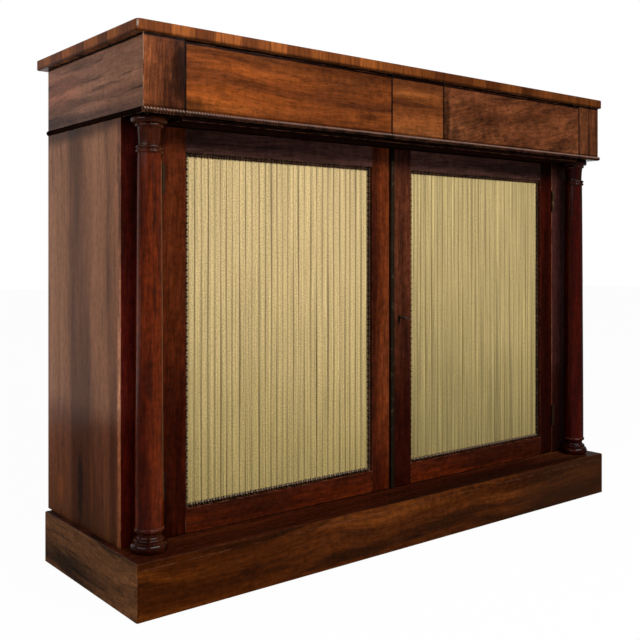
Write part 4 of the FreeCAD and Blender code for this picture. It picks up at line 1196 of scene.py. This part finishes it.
# %% Silk panels
def silk_panel(side, finish, **pleats):
    """One door's silk, with its folds marked and its flat map: across is the distance along the
    cut cloth, and up is the height. pleats is what pleated asks for besides the node."""
    grid, dark, cut = pleated(f"{side}_door_silk", **pleats)
    mesh = bpy.data.meshes.new(f"{side}_door_pleated_silk")
    mesh.from_pydata(grid.reshape(-1, 3).tolist(), [], grid_faces(*grid.shape[:2]).tolist())
    mesh.shade_smooth()
    fold = mesh.attributes.new("fold", "FLOAT", "POINT")
    fold.data.foreach_set("value", dark.astype(np.float32).ravel())
    height = grid[:, 0, 2] - grid[0, 0, 2]
    flat = np.stack(np.broadcast_arrays(cut[None, :], height[:, None]), -1).reshape(-1, 2)
    corner = np.empty(len(mesh.loops), np.int32)
    mesh.loops.foreach_get("vertex_index", corner)
    layer = mesh.uv_layers.new(name="cut")
    layer.data.foreach_set("uv", flat[corner].astype(np.float32).ravel())
    mesh.materials.append(finish)
    panel = bpy.data.objects.new(f"{side}_door_pleated_silk", mesh)
    bpy.context.scene.collection.objects.link(panel)
    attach(panel, f"{side}_door")
    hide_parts(f"{side}_door_silk")
    print(panel.name, len(mesh.polygons), "faces, cut", round(float(cut[-1]), 3), "m wide")


silk_panel("left", left_silk, pleat=0.0135, uneven=0.15, faintest=0.5, seed=31)
silk_panel("right", right_silk, pleat=0.012, uneven=0.5, faintest=0.3, seed=32)

# %% [markdown]
# ## Floor
# The cabinet stands on a pale floor in a white room. The eye sees both as white. The polish
# mirrors them too, but only the back wall and the floor by it are bright in a mirror, because a
# real room is dim on the side where the lamps point away. Light Path tells a shader who is
# looking, so the white that is seen adds no light to the cabinet.

# %% Floor
FLOOR_REACH = 12.0
FLOOR_GREY = (0.85, 0.85, 0.85, 1)
WHITE = (1, 1, 1, 1)
FLOOR_DIM = 0.15
FLOOR_SHARE = 0.97


def lookers(tree):
    """Whether the camera looks, and whether anything does: camera, mirror or glass."""
    seen = add(tree, "LightPath").outputs
    anyone = maths(tree, "MAXIMUM", seen["Is Camera Ray"], seen["Is Glossy Ray"])
    return seen["Is Camera Ray"], maths(tree, "MAXIMUM", anyone, seen["Is Transmission Ray"])


def plain_floor():
    """A square of floor that shows nearly white and still takes the cabinet's shadow."""
    mesh = bpy.data.meshes.new("floor")
    reach = FLOOR_REACH
    mesh.from_pydata([(-reach, -reach, 0), (reach, -reach, 0), (reach, reach, 0),
                      (-reach, reach, 0)], [], [(0, 1, 2, 3)])
    floor = bpy.data.objects.new("floor", mesh)
    bpy.context.scene.collection.objects.link(floor)
    material, tree, shader = new_finish("pale_floor")
    feed(tree, shader, {"Base Color": FLOOR_GREY, "Roughness": 0.9, "Specular IOR Level": 0.0})
    camera_looks, anyone_looks = lookers(tree)
    far = rise(tree, position(tree, "y"), 1.35, 1.45, FLOOR_DIM, 1.0)
    white = add(tree, "Emission", {0: WHITE, 1: maths(tree, "MAXIMUM", camera_looks, far)})
    share = maths(tree, "MULTIPLY", anyone_looks, FLOOR_SHARE)
    blended = add(tree, "MixShader", {0: share, 1: shader.outputs[0], 2: white.outputs[0]})
    tree.links.new(blended.outputs[0], tree.nodes["Material Output"].inputs[0])
    mesh.materials.append(material)


plain_floor()

# %% [markdown]
# ## Room
# The room is the world's background. It is done like the floor: a soft light for the cabinet,
# white for the eye, and in a mirror white behind the cabinet and dim in front of it.

# %% Room
ROOM_DIM = 0.2


def white_room(strength):
    """A background that lights the cabinet softly from everywhere."""
    world = bpy.data.worlds.new("room")
    bpy.context.scene.world = world
    world.use_nodes = True
    tree = world.node_tree
    soft = tree.nodes["Background"]
    feed(tree, soft, {0: WHITE, 1: strength})
    camera_looks, anyone_looks = lookers(tree)
    way = add(tree, "TexCoord").outputs["Generated"]
    shade = rise(tree, axis_of(tree, way, "y"), 0.5, 0.8, ROOM_DIM, 1.0)
    white = add(tree, "Background", {0: WHITE, 1: maths(tree, "MAXIMUM", camera_looks, shade)})
    blended = add(tree, "MixShader", {0: anyone_looks, 1: soft.outputs[0], 2: white.outputs[0]})
    tree.links.new(blended.outputs[0], tree.nodes["World Output"].inputs[0])
    print("room light of strength", strength)


white_room(0.3)

# %% [markdown]
# ## Lights
# Two long strips of light do most of the lighting, one in front and a weaker one on the left.
# A square lamp would leave one bright dot on each turned ring, and a strip draws the long streak
# that polish shows.

# %% Lights
STRIP_WIDTH = 0.6


def strip_lamp(name, place_at, aim, length, power):
    """A long, level strip of light that faces its aim."""
    lamp = bpy.data.lights.new(name, "AREA")
    lamp.shape = "RECTANGLE"
    lamp.size = length
    lamp.size_y = STRIP_WIDTH
    lamp.energy = power
    holder = bpy.data.objects.new(name, lamp)
    bpy.context.scene.collection.objects.link(holder)
    holder.location = place_at
    holder.rotation_euler = (Vector(aim) - Vector(place_at)).to_track_quat("-Z", "Y").to_euler()
    print(name, "of", power, "W")


strip_lamp("front_lamp", (0.1, -2.6, 2.0), aim=(0, -0.1, 0.5), length=3.0, power=87)
strip_lamp("left_lamp", (-3.0, -0.6, 1.4), aim=(-0.5, 0, 0.5), length=2.6, power=22)
